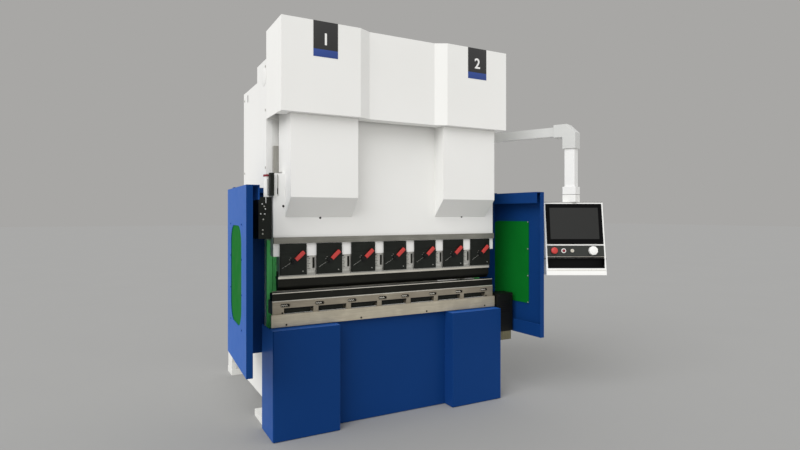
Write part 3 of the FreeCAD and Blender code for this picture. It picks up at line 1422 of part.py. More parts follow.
def main():
    os.makedirs("parts", exist_ok=True)
    frame = side_frame()
    cover = side_cover()
    box = front_cover()
    housing = screw_housing()
    panel = guard_panel()
    pane = guard_pane()
    wall = guard_wall(panel)
    save("side_frame_right", frame)
    save("side_frame_left", mirrored(frame))
    save("side_cover_right", cover)
    save("side_cover_left", mirrored(cover))
    save("feet", *foot_plates())
    save("lower_beam", lower_beam())
    save("head_beam", head_beam())
    save("rear_ties", *rear_ties())
    save("back_gauge", *back_gauge())
    save("front_cover_right", box)
    save("front_cover_left", mirrored(box))
    save("front_cover_center", center_panel())
    save("table_front_plate", table_front_plate())
    save("die_rail", die_rail())
    save("crowning_wedges", *crowning_wedges())
    save("lower_die", lower_die())
    save("punch", punch())
    save("punch_adapters", *adapters())
    save("punch_clamps", *clamp_plates())
    for number, x in enumerate(stations(), start=1):
        save("clamp_lever_%d" % number, clamp_lever(x))
    save("ram_plate", ram_plate())
    save("ram_strip", ram_strip())
    save("screw_housings", mirrored(housing), housing)
    save("scale_bars", scale_bar())
    save("screw_drives", *screw_drives())
    save("screw_nuts", *screw_nuts())
    save("guide_rails", *guide_rails())
    save("guide_blocks", *guide_blocks())
    save("hood", hood())
    save("safety_strips", *safety_strips())
    save("guard_panel_left", panel)
    save("guard_panel_right", mirrored(panel))
    save("guard_windows", pane, mirrored(pane))
    save("guard_wall_left", wall)
    save("guard_wall_right", mirrored(wall))
    save("valve_block", valve_block())
    save("oil_cup", oil_cup())
    save("drive_box", drive_box())
    save("arm_bracket", arm_bracket())
    save("pendant_arm", pendant_arm())
    save("pendant_tube", pendant_tube())
    save("panel_box", panel_box())
    save("panel_glass", *panel_glass())
    save("panel_controls", *panel_controls())


main()
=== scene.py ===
# %% [markdown]
# Dressing a servo press brake
# The steel structure of the machine is already there, as a frame of separate CAD nodes at
# their real size. This lesson gives every node the finish of the real one, adds the small
# pieces that a drawing office leaves out, and lights the machine plainly. All lengths are
# metres, +X to the operator's right, +Y to the back, +Z up, with the origin on the floor in
# the middle of the four anchor holes.

# %% Load the frame
import json
import math

import bmesh
import bpy
from mathutils import Matrix, Vector


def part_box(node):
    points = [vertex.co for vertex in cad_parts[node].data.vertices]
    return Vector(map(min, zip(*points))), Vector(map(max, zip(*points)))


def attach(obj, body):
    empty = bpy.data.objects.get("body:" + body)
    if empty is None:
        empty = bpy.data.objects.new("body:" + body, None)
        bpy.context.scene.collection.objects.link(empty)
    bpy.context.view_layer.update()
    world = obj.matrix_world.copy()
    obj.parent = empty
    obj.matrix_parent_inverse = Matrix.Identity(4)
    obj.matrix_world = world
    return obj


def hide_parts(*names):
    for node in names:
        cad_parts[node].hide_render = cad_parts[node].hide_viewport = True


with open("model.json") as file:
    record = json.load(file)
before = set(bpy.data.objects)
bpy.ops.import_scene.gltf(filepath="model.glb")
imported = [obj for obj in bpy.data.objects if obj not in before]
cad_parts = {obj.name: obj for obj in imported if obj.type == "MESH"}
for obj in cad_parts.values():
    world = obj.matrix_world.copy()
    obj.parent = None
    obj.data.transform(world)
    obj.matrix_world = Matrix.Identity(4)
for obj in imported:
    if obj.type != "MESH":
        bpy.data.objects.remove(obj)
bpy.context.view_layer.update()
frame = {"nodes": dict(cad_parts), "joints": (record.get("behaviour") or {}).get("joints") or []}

scene = bpy.context.scene
nodes = frame["nodes"]
joints = {joint["name"]: joint for joint in frame["joints"]}
MM = 0.001

# %% [markdown]
# The camera
# A product photograph of a tall machine is taken level, so that uprights stay parallel. The
# camera stands in front of the left corner at chest height. A level camera would centre the
# horizon, so the lens is shifted a little, as a view camera's back is, and not tilted.

# %% Place the camera
CAMERA_PLACE = (-1.5504, -3.8194, 1.2294)
CAMERA_HEADING = 28.21
CAMERA_LENS = 24.549
LENS_SHIFT = -0.01323

lens = bpy.data.cameras.new("photograph_lens")
lens.sensor_width = 36.0
lens.lens = CAMERA_LENS
lens.shift_y = LENS_SHIFT
camera = bpy.data.objects.new("photograph_camera", lens)
camera.location = CAMERA_PLACE
camera.rotation_euler = (math.radians(90), 0, math.radians(-CAMERA_HEADING))
scene.collection.objects.link(camera)
scene.camera = camera
scene.view_settings.view_transform = "Standard"
print("camera height over the floor:", CAMERA_PLACE[2], "m")

# %% [markdown]
# Colours and nodes
# Paint charts and photographs give colours as sRGB hex values, but light adds up linearly, so
# each colour is turned to linear once. A material here is a small tree of nodes: a pattern in
# real millimetres, a colour and a gloss that follow it, and one Principled shader. One function
# adds a node with its settings and its links, which keeps every recipe short to read.

# %% Helpers for colours and node trees
def linear(hex_value, alpha=1.0):
    """An sRGB colour such as E2E1DE as linear red, green, blue and alpha."""
    channels = [int(hex_value[i:i + 2], 16) / 255 for i in (0, 2, 4)]
    curve = [c / 12.92 if c <= 0.04045 else ((c + 0.055) / 1.055) ** 2.4 for c in channels]
    return (*curve, alpha)


def add(tree, kind, inputs=None, **settings):
    """Adds one node; inputs gives a value or another node's output for each socket."""
    made = tree.nodes.new(kind)
    for name, value in settings.items():
        setattr(made, name, value)
    for socket, value in (inputs or {}).items():
        if isinstance(value, bpy.types.NodeSocket):
            tree.links.new(value, made.inputs[socket])
        else:
            made.inputs[socket].default_value = value
    return made


def per_metre(size_mm):
    """The texture scale at which one feature of a pattern is size_mm across."""
    return 1000.0 / size_mm


def new_material(name):
    """An empty material; returns it with its tree and the object's own coordinates."""
    material = bpy.data.materials.new(name)
    material.use_nodes = True
    tree = material.node_tree
    tree.nodes.clear()
    place = add(tree, "ShaderNodeTexCoord").outputs["Object"]
    return material, tree, place

# %% [markdown]
# Light
# The machine stands in an even, overcast sort of light with one broad source high on the
# left: the covers' left sides are the brightest and the undersides the darkest. A pale world
# gives the even part and one very wide sun the rest, so the floor is lit evenly to the
# horizon. The level is plain: a white cover renders about as it is written.

# %% World and sun
BACKDROP = "A8A7A5"
SKY = (0.74, 0.735, 0.73, 1.0)
SUN_TOWARDS = Vector((-0.66, -0.427, 0.62))
SUN_POWER = 1.78
SUN_SPREAD = 50.0

world = bpy.data.worlds.new("studio")
scene.world = world
world.use_nodes = True
studio = world.node_tree
studio.nodes.clear()


def backdrop_rays(tree):
    """1 for the rays that see the backdrop: the camera's own and those through glass."""
    rays = add(tree, "ShaderNodeLightPath")
    seen = {0: rays.outputs["Is Camera Ray"], 1: rays.outputs["Is Transmission Ray"]}
    return add(tree, "ShaderNodeMath", seen, operation="MAXIMUM").outputs[0]


sky = add(studio, "ShaderNodeBackground", {"Color": SKY, "Strength": 1.0})
backdrop = add(studio, "ShaderNodeBackground", {"Color": linear(BACKDROP), "Strength": 1.0})
shown = {0: backdrop_rays(studio), 1: sky.outputs[0], 2: backdrop.outputs[0]}
shown = add(studio, "ShaderNodeMixShader", shown)
add(studio, "ShaderNodeOutputWorld", {"Surface": shown.outputs[0]})

sun = bpy.data.lights.new("broad_sun", "SUN")
sun.energy = SUN_POWER
sun.angle = math.radians(SUN_SPREAD)
sun_lamp = bpy.data.objects.new("broad_sun", sun)
sun_lamp.rotation_euler = SUN_TOWARDS.to_track_quat("Z", "Y").to_euler()
scene.collection.objects.link(sun_lamp)
print("sun:", SUN_POWER, "spread over", SUN_SPREAD, "degrees")

# %% [markdown]
# Floor
# The floor is matt paint on concrete in the backdrop's own grey, so that the two meet without
# a line. The light that it throws up under the machine is that of a paler floor, because the
# sloped undersides of the housings are nearly as light as their fronts.

# %% Pale floor
FLOOR_REACH = 60.0
FLOOR_COLOUR = "A2A2A1"
FLOOR_SPOT_COLOUR = "A4A4A3"
FLOOR_BOUNCE = "C8C7C4"
FLOOR_SPOT_MM = 900
FLOOR_QUARTERS = ((-1, -1), (1, -1), (1, 1), (-1, 1))

floor_mesh = bpy.data.meshes.new("floor")
floor_corners = [(x * FLOOR_REACH, y * FLOOR_REACH, 0) for x, y in FLOOR_QUARTERS]
floor_mesh.from_pydata(floor_corners, [], [(0, 1, 2, 3)])
floor = bpy.data.objects.new("floor", floor_mesh)
scene.collection.objects.link(floor)
floor_paint, tree, place = new_material("matt_painted_floor")
noise = {"Vector": place, "Scale": per_metre(FLOOR_SPOT_MM)}
spots = add(tree, "ShaderNodeTexNoise", noise).outputs[0]
mix = {0: spots, 6: linear(FLOOR_COLOUR), 7: linear(FLOOR_SPOT_COLOUR)}
seen = add(tree, "ShaderNodeMix", mix, data_type="RGBA").outputs[2]
mix = {0: backdrop_rays(tree), 6: linear(FLOOR_BOUNCE), 7: seen}
colour = add(tree, "ShaderNodeMix", mix, data_type="RGBA").outputs[2]
matt = add(tree, "ShaderNodeBsdfDiffuse", {"Color": colour})
add(tree, "ShaderNodeOutputMaterial", {"Surface": matt.outputs[0]})
floor_mesh.materials.append(floor_paint)
print("floor:", 2 * FLOOR_REACH, "m square")

# %% [markdown]
# Powder coat
# The covers are folded steel sheet, sprayed with dry powder and baked. The film flows into a
# fine orange-peel surface and pulls thin over folds, so edges catch a soft highlight. The
# peel is a millimetre or two across on the real covers, too fine to show here, so it is drawn
# at 6 mm and very shallow. The roundness of the folds comes from a bevelled normal. The blue
# powder also has a sheen, which lifts it where it is seen at a low angle.

# %% Powder-coated and painted steel
PEEL_MM = 6.0
PEEL_DEPTH_MM = 0.03
CLOUD_MM = 420
WEAR_MM = 60
FOLD_RADIUS_MM = 2.5
GLOSS_SPREAD = 0.05


def powder_coat(name, colour, shade, roughness, **shader_values):
    """Baked powder on folded sheet steel: an even colour, slight cloudiness and orange peel."""
    material, tree, place = new_material(name)
    noise = {"Vector": place, "Scale": per_metre(CLOUD_MM), "Detail": 2.0}
    cloud = add(tree, "ShaderNodeTexNoise", noise).outputs[0]
    mix = {0: cloud, 6: linear(shade), 7: linear(colour)}
    tint = add(tree, "ShaderNodeMix", mix, data_type="RGBA").outputs[2]
    noise = {"Vector": place, "Scale": per_metre(WEAR_MM)}
    wear = add(tree, "ShaderNodeTexNoise", noise).outputs[0]
    span = {"Value": wear, "To Min": roughness - GLOSS_SPREAD, "To Max": roughness + GLOSS_SPREAD}
    gloss = add(tree, "ShaderNodeMapRange", span).outputs[0]
    noise = {"Vector": place, "Scale": per_metre(PEEL_MM), "Detail": 1.0}
    peel = add(tree, "ShaderNodeTexNoise", noise).outputs[0]
    fold = add(tree, "ShaderNodeBevel", {"Radius": FOLD_RADIUS_MM * MM}, samples=4).outputs[0]
    height = {"Height": peel, "Distance": PEEL_DEPTH_MM * MM, "Normal": fold}
    bump = add(tree, "ShaderNodeBump", height).outputs[0]
    values = {key.replace("_", " "): value for key, value in shader_values.items()}
    values.update({"Base Color": tint, "Roughness": gloss, "Normal": bump})
    shader = add(tree, "ShaderNodeBsdfPrincipled", values)
    add(tree, "ShaderNodeOutputMaterial", {"Surface": shader.outputs[0]})
    return material


white_powder = powder_coat("white_powder_coated_steel", "F2F2F0", "ECECE9", 0.42)
side_powder = powder_coat("white_powder_coated_side_sheet", "EFEFED", "E9E9E7", 0.42)
blue_powder = powder_coat(
    "blue_powder_coated_steel", "103872", "0D346B", 0.36,
    Specular_IOR_Level=0.05, Sheen_Weight=0.9, Sheen_Roughness=0.4, Sheen_Tint=linear("458EFF"),
)
# The safety strips' green paint is real, but its colour is made much paler as painted light, for
# the front light that reaches them between the guard and the frame.
green_powder_painted_light = powder_coat(
    "safety_green_coat_with_painted_light", "78F890", "6CEC84", 0.45, Specular_IOR_Level=0.3,
)
arm_powder = powder_coat("light_grey_powder_coated_casting", "D2D3D1", "CBCCCA", 0.4)
tube_powder = powder_coat("white_powder_coated_tube", "EFEFEE", "E9E9E8", 0.4)
frame_powder = powder_coat("white_enamelled_plate", "E8E8E5", "DEDEDB", 0.5)
black_powder = powder_coat(
    "black_powder_coated_steel", "10110E", "0C0D0B", 0.5, Specular_IOR_Level=0.2,
)
print("powder coats: 8")

# %% [markdown]
# Bare and blackened steel
# The table, rail and ram strip are surface-ground: a wheel leaves fine straight lines along
# the piece and a dull silver sheen that is stretched across them. Oil and skin leave a thin
# grey film, so part of the light comes back evenly and the metal reads as warm grey. Clamps
# are black oxide, a chemical skin that keeps the milling marks. Real grinding lines are a tenth
# of a millimetre wide; here they are 2 to 5 mm wide to show.

# %% Ground, milled and blackened steel
LINE_STRETCH = 0.03
LINE_DEPTH_MM = 0.02
STAIN_MM = 90
EDGE_RADIUS_MM = 1.2
STAIN_LOW, STAIN_HIGH = -0.6, 2.2  # two patterns multiplied stay near a quarter, so they are spread


def worked_steel(name, colour, worn_colour, roughness, line_mm, along=0, metallic=0.55):
    """Steel with tool marks line_mm apart that run along one axis, and stains between them."""
    material, tree, place = new_material(name)
    stretch = [LINE_STRETCH if axis == along else 1.0 for axis in range(3)]
    drawn = add(tree, "ShaderNodeMapping", {"Vector": place, "Scale": stretch}).outputs[0]
    noise = {"Vector": drawn, "Scale": per_metre(line_mm), "Detail": 4.0}
    lines = add(tree, "ShaderNodeTexNoise", noise).outputs[0]
    noise = {"Vector": place, "Scale": per_metre(STAIN_MM), "Detail": 4.0}
    stains = add(tree, "ShaderNodeTexNoise", noise).outputs[0]
    both = add(tree, "ShaderNodeMath", {0: lines, 1: stains}, operation="MULTIPLY").outputs[0]
    span = {"Value": both, "To Min": STAIN_LOW, "To Max": STAIN_HIGH}
    shade = add(tree, "ShaderNodeMapRange", span).outputs[0]
    mix = {0: shade, 6: linear(worn_colour), 7: linear(colour)}
    tint = add(tree, "ShaderNodeMix", mix, data_type="RGBA").outputs[2]
    span = {"Value": lines, "To Min": roughness - 0.1, "To Max": roughness + 0.1}
    gloss = add(tree, "ShaderNodeMapRange", span).outputs[0]
    edge = add(tree, "ShaderNodeBevel", {"Radius": EDGE_RADIUS_MM * MM}, samples=4).outputs[0]
    height = {"Height": lines, "Distance": LINE_DEPTH_MM * MM, "Normal": edge}
    bump = add(tree, "ShaderNodeBump", height).outputs[0]
    values = {"Base Color": tint, "Roughness": gloss, "Normal": bump, "Metallic": metallic}
    shader = add(tree, "ShaderNodeBsdfPrincipled", values)
    add(tree, "ShaderNodeOutputMaterial", {"Surface": shader.outputs[0]})
    return material


ground_plate = worked_steel("surface_ground_table_plate", "D6CEBA", "B4AC9A", 0.42, 4.0)
ground_rail = worked_steel("surface_ground_rail", "B2AA98", "8F8778", 0.42, 4.0)
ground_strip = worked_steel("surface_ground_strip", "9C9B92", "7E7D75", 0.42, 5.0)
bright_edge = worked_steel("freshly_ground_edge", "EEEBE2", "D6D2C6", 0.3, 3.0)
machined_steel = worked_steel("milled_steel", "BEBEBA", "98968F", 0.38, 3.0, along=2)
adapter_steel = worked_steel("zinc_plated_milled_steel", "D4D4CE", "ABAAA4", 0.36, 3.0, along=2)
black_oxide = worked_steel("black_oxide_steel", "2A2E2A", "1D201C", 0.5, 3.0, metallic=0.7)
tool_steel = worked_steel("blackened_tool_steel", "282820", "1A1A15", 0.45, 5.0, metallic=0.7)
screw_steel = worked_steel("zinc_plated_screw_steel", "D6D6D0", "B5B5AE", 0.3, 2.0, along=2)
foot_steel = worked_steel("yellow_chromated_steel", "8C8768", "6A664F", 0.4, 3.0, along=2)
print("steels: 10")

# %% [markdown]
# Plastics, glass and acrylic
# Knobs and levers are injection moulded: one even colour right through, a fine spark-eroded
# grain and a soft highlight. The guard windows are tinted cast acrylic, deep green and only
# a little clear. The panel's front is black glass with the display behind it.

# %% Moulded plastic, acrylic and glass
GRAIN_MM = 1.6
GRAIN_DEPTH_MM = 0.04
SMEAR_MM = 120
PLASTIC_IOR = 1.49


def moulded_plastic(name, colour, shade, roughness, **shader_values):
    """Moulded plastic with a fine eroded grain."""
    material, tree, place = new_material(name)
    noise = {"Vector": place, "Scale": per_metre(GRAIN_MM), "Detail": 2.0}
    grain = add(tree, "ShaderNodeTexNoise", noise).outputs[0]
    mix = {0: grain, 6: linear(shade), 7: linear(colour)}
    tint = add(tree, "ShaderNodeMix", mix, data_type="RGBA").outputs[2]
    span = {"Value": grain, "To Min": roughness - 0.04, "To Max": roughness + 0.06}
    gloss = add(tree, "ShaderNodeMapRange", span).outputs[0]
    height = {"Height": grain, "Distance": GRAIN_DEPTH_MM * MM}
    bump = add(tree, "ShaderNodeBump", height).outputs[0]
    values = {key.replace("_", " "): value for key, value in shader_values.items()}
    values.update({"Base Color": tint, "Roughness": gloss, "Normal": bump, "IOR": PLASTIC_IOR})
    shader = add(tree, "ShaderNodeBsdfPrincipled", values)
    add(tree, "ShaderNodeOutputMaterial", {"Surface": shader.outputs[0]})
    return material


red_plastic = moulded_plastic("red_moulded_nylon", "CE403A", "B6312D", 0.42)
dark_red_plastic = moulded_plastic("dark_red_moulded_nylon", "8E2230", "7C1C29", 0.42)
black_plastic = moulded_plastic(
    "black_moulded_nylon", "141415", "101011", 0.5, Specular_IOR_Level=0.25,
)
white_plastic = moulded_plastic("white_moulded_acetal", "F2F2EF", "E9E9E6", 0.35)
cup_plastic = moulded_plastic("milky_polyethylene", "FAFAF6", "F2F2EE", 0.3)
panel_foil = moulded_plastic("dark_grey_printed_foil", "262925", "232622", 0.42)
display_film = moulded_plastic("switched_off_display", "151614", "131412", 0.35)
tray_liner = moulded_plastic(
    "black_moulded_liner", "0C0C0C", "080808", 0.6, Specular_IOR_Level=0.15,
)


def clear_sheet(name, colours, roughness, **shader_values):
    """A smooth sheet of tinted acrylic or glass, with faint smears from wiping."""
    material, tree, place = new_material(name)
    noise = {"Vector": place, "Scale": per_metre(SMEAR_MM), "Detail": 3.0}
    smears = add(tree, "ShaderNodeTexNoise", noise).outputs[0]
    mix = {0: smears, 6: linear(colours[0]), 7: linear(colours[1])}
    tint = add(tree, "ShaderNodeMix", mix, data_type="RGBA").outputs[2]
    span = {"Value": smears, "To Min": roughness * 0.6, "To Max": roughness * 1.4}
    gloss = add(tree, "ShaderNodeMapRange", span).outputs[0]
    values = {key.replace("_", " "): value for key, value in shader_values.items()}
    values.update({"Base Color": tint, "Roughness": gloss, "IOR": PLASTIC_IOR})
    shader = add(tree, "ShaderNodeBsdfPrincipled", values)
    add(tree, "ShaderNodeOutputMaterial", {"Surface": shader.outputs[0]})
    return material


green_acrylic = clear_sheet(
    "green_tinted_acrylic", ("0A6A22", "0D7227"), 0.6,
    Transmission_Weight=0.02, Specular_IOR_Level=0.02,
)
black_glass = clear_sheet(
    "black_back_printed_glass", ("030304", "050506"), 0.1, Specular_IOR_Level=0.1,
)
print("plastics and sheets: 10")

# %% [markdown]
# Finishes for the frame
# The covers, beams and tools are the frame's own nodes, and only their materials change here.
# A table from finish to nodes is used rather than a line for each, because one sheet of steel
# or one spray of powder serves many pieces. What the table leaves out is printed.

# %% Give each CAD node its finish
LEVER_COUNT = 7
FINISHES = {
    white_powder: "hood ram_plate screw_housings panel_box",
    side_powder: "side_cover_left side_cover_right",
    blue_powder: (
        "front_cover_left front_cover_right front_cover_center guard_panel_left "
        "guard_panel_right guard_wall_left guard_wall_right"
    ),
    # The safety strips take the green that is made paler as painted light.
    green_powder_painted_light: "safety_strips",
    frame_powder: "side_frame_left side_frame_right feet head_beam lower_beam rear_ties",
    ground_plate: "table_front_plate",
    ground_rail: "die_rail",
    ground_strip: "ram_strip",
    machined_steel: "screw_drives screw_nuts guide_rails guide_blocks back_gauge",
    adapter_steel: "punch_adapters",
    # The crowning wedges' black oxide is painted shade: it darkens the rail's windows that they sit
    # in.
    black_oxide: "punch_clamps scale_bars valve_block crowning_wedges",
    tool_steel: "punch lower_die",
    black_powder: "drive_box",
    arm_powder: "arm_bracket pendant_arm",
    tube_powder: "pendant_tube",
    red_plastic: " ".join("clamp_lever_%d" % count for count in range(1, LEVER_COUNT + 1)),
    cup_plastic: "oil_cup",
    green_acrylic: "guard_windows",
    black_glass: "panel_glass",
    panel_foil: "panel_controls",
}
for material, names in FINISHES.items():
    for name in names.split():
        mesh = nodes[name].data
        if not mesh.materials:
            mesh.materials.append(material)
        for slot_holder in nodes[name].material_slots:
            slot_holder.material = material
unfinished = set(nodes) - set(" ".join(FINISHES.values()).split())
print("nodes without a finish:", sorted(unfinished))

# %% [markdown]
# Small pieces
# A screw, a knob or a cap is a turned part, so it is made as a lathe makes it: a profile of
# radii and heights, drawn round an axis. A plate is sawn out and its edges are broken, so it is
# a block with bevelled edges, or an outline drawn up to a thickness with its rim rounded. Each is
# built in a mesh of its own and collected, and the collection becomes one object on its body.

# %% Helpers for small pieces
def spin(degrees, axis):
    """The matrix of a turn about X, Y or Z."""
    return Matrix.Rotation(math.radians(degrees), 4, axis)


def machine(x, y, z):
    """A place measured in mm from the blue covers' front, in the frame's metres."""
    return Vector((x * MM, y * MM + COVER_FRONT_Y, z * MM))


COVER_FRONT_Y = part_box("front_cover_left")[0].y
FACING = {
    "front": spin(90, "X"),
    "back": spin(-90, "X"),
    "left": spin(-90, "Y"),
    "right": spin(90, "Y"),
    "up": Matrix.Identity(4),
    "down": spin(180, "X"),
}


def put(x, y, z, facing="front"):
    """The matrix that sets a piece drawn along +Z on a surface at x, y, z in machine mm."""
    return Matrix.Translation(machine(x, y, z)) @ FACING[facing]


def collect(target, part, place):
    """Moves a finished part to its place and adds it to the target mesh."""
    holder = bpy.data.meshes.new("part")
    part.to_mesh(holder)
    part.free()
    holder.transform(place)
    target.from_mesh(holder)
    bpy.data.meshes.remove(holder)


def turn(target, profile, place, sides=24, hexagon_from=None):
    """Turns a profile of (radius, height) in mm about +Z; rings from hexagon_from are hexagons."""
    part = bmesh.new()
    rings = []
    for index, (radius, height) in enumerate(profile):
        ring = []
        for side in range(sides):
            angle = 2 * math.pi * side / sides
            reach = radius
            if hexagon_from is not None and index >= hexagon_from:
                reach = radius / math.cos((angle % (math.pi / 3)) - math.pi / 6)
            spot = (reach * math.cos(angle) * MM, reach * math.sin(angle) * MM, height * MM)
            ring.append(part.verts.new(spot))
        rings.append(ring)
    for lower, upper in zip(rings, rings[1:]):
        for side in range(sides):
            after = (side + 1) % sides
            part.faces.new((lower[side], lower[after], upper[after], upper[side]))
    part.faces.new(rings[-1])
    part.faces.new(rings[0][::-1])
    collect(target, part, place)


def block(target, size, place, edge=1.0, steps=2):
    """A block of size mm, standing on its place, with its edges broken by edge mm."""
    part = bmesh.new()
    bmesh.ops.create_cube(part, size=1.0)
    bmesh.ops.scale(part, vec=Vector(size) * MM, verts=part.verts)
    bmesh.ops.translate(part, vec=(0, 0, size[2] * MM / 2), verts=part.verts)
    bmesh.ops.bevel(
        part, geom=part.edges, offset=edge * MM, segments=steps, profile=0.5, affect="EDGES"
    )
    collect(target, part, place)


def sawn(target, outline, thickness, place, rim=1.0, steps=3):
    """An outline in mm drawn up to a thickness, with its upper rim rounded."""
    part = bmesh.new()
    face = part.faces.new([part.verts.new((x * MM, y * MM, 0)) for x, y in outline])
    drawn = bmesh.ops.extrude_face_region(part, geom=[face])
    top = [element for element in drawn["geom"] if isinstance(element, bmesh.types.BMVert)]
    bmesh.ops.translate(part, vec=(0, 0, thickness * MM), verts=top)
    edges = [edge for edge in part.edges if all(vert in top for vert in edge.verts)]
    bmesh.ops.bevel(part, geom=edges, offset=rim * MM, segments=steps, profile=0.5, affect="EDGES")
    collect(target, part, place)


def wire(target, spots, radius, sides=12):
    """A round wire or tube with rounded ends through spots in the frame's metres."""
    tip, bulge = radius * 0.5, radius * 0.87
    for start, end in zip(spots, spots[1:]):
        along = end - start
        length = along.length / MM
        profile = [(tip, -bulge), (radius, 0.0), (radius, length), (tip, length + bulge)]
        aim = along.to_track_quat("Z", "Y").to_matrix().to_4x4()
        turn(target, profile, Matrix.Translation(start) @ aim, sides)


SMOOTH_UNDER = 35


def piece(name, target, material, body="machine_frame"):
    """Makes the collected mesh an object with its finish and its body."""
    mesh = bpy.data.meshes.new(name)
    bmesh.ops.recalc_face_normals(target, faces=target.faces)
    target.to_mesh(mesh)
    target.free()
    mesh.materials.append(material)
    made = bpy.data.objects.new(name, mesh)
    scene.collection.objects.link(made)
    mesh.shade_smooth()
    mesh.set_sharp_from_angle(angle=math.radians(SMOOTH_UNDER))
    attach(made, body)
    print(name, "faces:", len(mesh.polygons))
    return made


# %% [markdown]
# Screws
# Covers are held by button-head screws and tools by cap screws, both with a hexagon socket.
# A head is domed or straight with a broken edge, and its socket is cut down into it, so its
# profile goes up, over the edge, inwards and down again. The last two rings are hexagons.

# %% Screw heads
def cap_screw(target, place, radius=6.0, rise=5.0):
    """A cylindrical head with a hexagon socket; rise is how far it stands off its seat."""
    socket = radius * 0.5
    profile = [
        (radius, 0.0), (radius, rise * 0.85), (radius * 0.92, rise),
        (socket * 1.12, rise), (socket, rise * 0.96), (socket, rise * 0.35),
    ]
    turn(target, profile, place, hexagon_from=4)


def button_screw(target, place, radius=6.0, rise=3.0):
    """A low domed head with a hexagon socket."""
    socket = radius * 0.38
    profile = [
        (radius, 0.0), (radius * 0.97, rise * 0.35), (radius * 0.8, rise * 0.75),
        (radius * 0.55, rise), (socket * 1.15, rise), (socket, rise * 0.95), (socket, rise * 0.3),
    ]
    turn(target, profile, place, hexagon_from=5)


def hex_bolt(target, place, radius=15.0, rise=10.0):
    """A hexagon head on its round washer, with the top's corners turned off."""
    washer = [(radius * 1.25, 0.0), (radius * 1.25, rise * 0.2), (radius * 1.1, rise * 0.24)]
    turn(target, washer, place)
    head = [(radius * 0.88, rise * 0.24), (radius * 0.88, rise * 0.9), (radius * 0.78, rise)]
    turn(target, head, place, hexagon_from=0)


# %% [markdown]
# Label plates on the hood
# Each of the two hood boxes carries a plate that hangs from its top edge: black above, a blue
# band below, and a plain number that tells the two drives apart. The plates are thin sheet
# with a printed film. The numbers are raised 0.4 mm here so that they keep their edge.

# %% Hood plates
HOOD_LOW, HOOD_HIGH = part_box("hood")
HOOD_FRONT = (HOOD_LOW.y - COVER_FRONT_Y) / MM
HOOD_TOP = HOOD_HIGH.z / MM
PLATE_WIDTH = 142.0
PLATE_MIDDLES = {"left": -500.0, "right": 515.0}
PLATE_BLACK_HEIGHT = 153.0
PLATE_BLUE_HEIGHT = 41.0
PLATE_THICKNESS = 1.2
DIGIT_HEIGHT = 66.0
DIGIT_Z = HOOD_TOP - 126.0
DIGIT_RELIEF, DIGIT_BOLDNESS = 0.2, 1.6
FONT_TO_DIGIT = 1.35

plate_film = moulded_plastic("black_printed_film", "2C2C2C", "272727", 0.4)
blue_film = moulded_plastic("blue_printed_film", "24448F", "213F86", 0.4)
white_ink = moulded_plastic("white_screen_ink", "F4F4F2", "ECECEA", 0.5)

for number, (side, middle) in enumerate(PLATE_MIDDLES.items(), start=1):
    low_z = HOOD_TOP - PLATE_BLACK_HEIGHT
    for name, height, up, film, slot in (
        ("hood_plate_", PLATE_BLACK_HEIGHT, PLATE_BLACK_HEIGHT / 2, plate_film, "black_plastic"),
        ("hood_band_", PLATE_BLUE_HEIGHT, -PLATE_BLUE_HEIGHT / 2, blue_film, "blue_paint"),
    ):
        plate = bmesh.new()
        size = (PLATE_WIDTH, height, PLATE_THICKNESS)
        block(plate, size, put(middle, HOOD_FRONT, low_z + up), edge=0.4)
        piece(name + side, plate, film)
    text = bpy.data.curves.new("hood_number_" + side, "FONT")
    text.body = str(number)
    text.size = DIGIT_HEIGHT * FONT_TO_DIGIT * MM
    text.extrude = DIGIT_RELIEF * MM
    text.offset = DIGIT_BOLDNESS * MM
    text.align_x = "CENTER"
    digit = bpy.data.objects.new("hood_number_" + side, text)
    scene.collection.objects.link(digit)
    digit.matrix_world = put(middle, HOOD_FRONT - PLATE_THICKNESS - DIGIT_RELIEF, DIGIT_Z)
    text.materials.append(white_ink)
    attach(digit, "machine_frame")

# %% [markdown]
# Clamp levers
# Each clamp is worked by a lever on its pin: a black moulded hub with a red nylon grip pushed
# over its tongue. The CAD lever is a plain blank for it, so the grip replaces it and turns with
# it. Both are drawn in the lever's own plane, with rounded edges as a mould leaves them, and
# then turned to the angle at which the lever stands when the clamp is shut.

# %% Clamp levers
LEVER_ANGLE = 43.0
GRIP_FROM = 15.0
GRIP_TO = 80.0
GRIP_HALF = 11.4
GRIP_THICKNESS = 10.6
HUB_RADIUS = 14.0
PIN_RADIUS = 6.05
BOSS = [
    (PIN_RADIUS, 0.0), (HUB_RADIUS, 0.0), (HUB_RADIUS, 8.4),
    (HUB_RADIUS - 1.6, 10.0), (PIN_RADIUS + 1.0, 10.0), (PIN_RADIUS, 9.0),
]
GRIP_EDGE = [(GRIP_FROM, 0.9), (GRIP_TO - 30.0, 1.0), (GRIP_TO - 3.0, 0.97), (GRIP_TO, 0.7)]
GRIP_OUTLINE = [(x, -GRIP_HALF * share) for x, share in GRIP_EDGE]
GRIP_OUTLINE += [(x, GRIP_HALF * share) for x, share in reversed(GRIP_EDGE)]
TONGUE_OUTLINE = [(6.5, -7.0), (GRIP_FROM + 2.0, -6.2), (GRIP_FROM + 2.0, 6.2), (6.5, 7.0)]

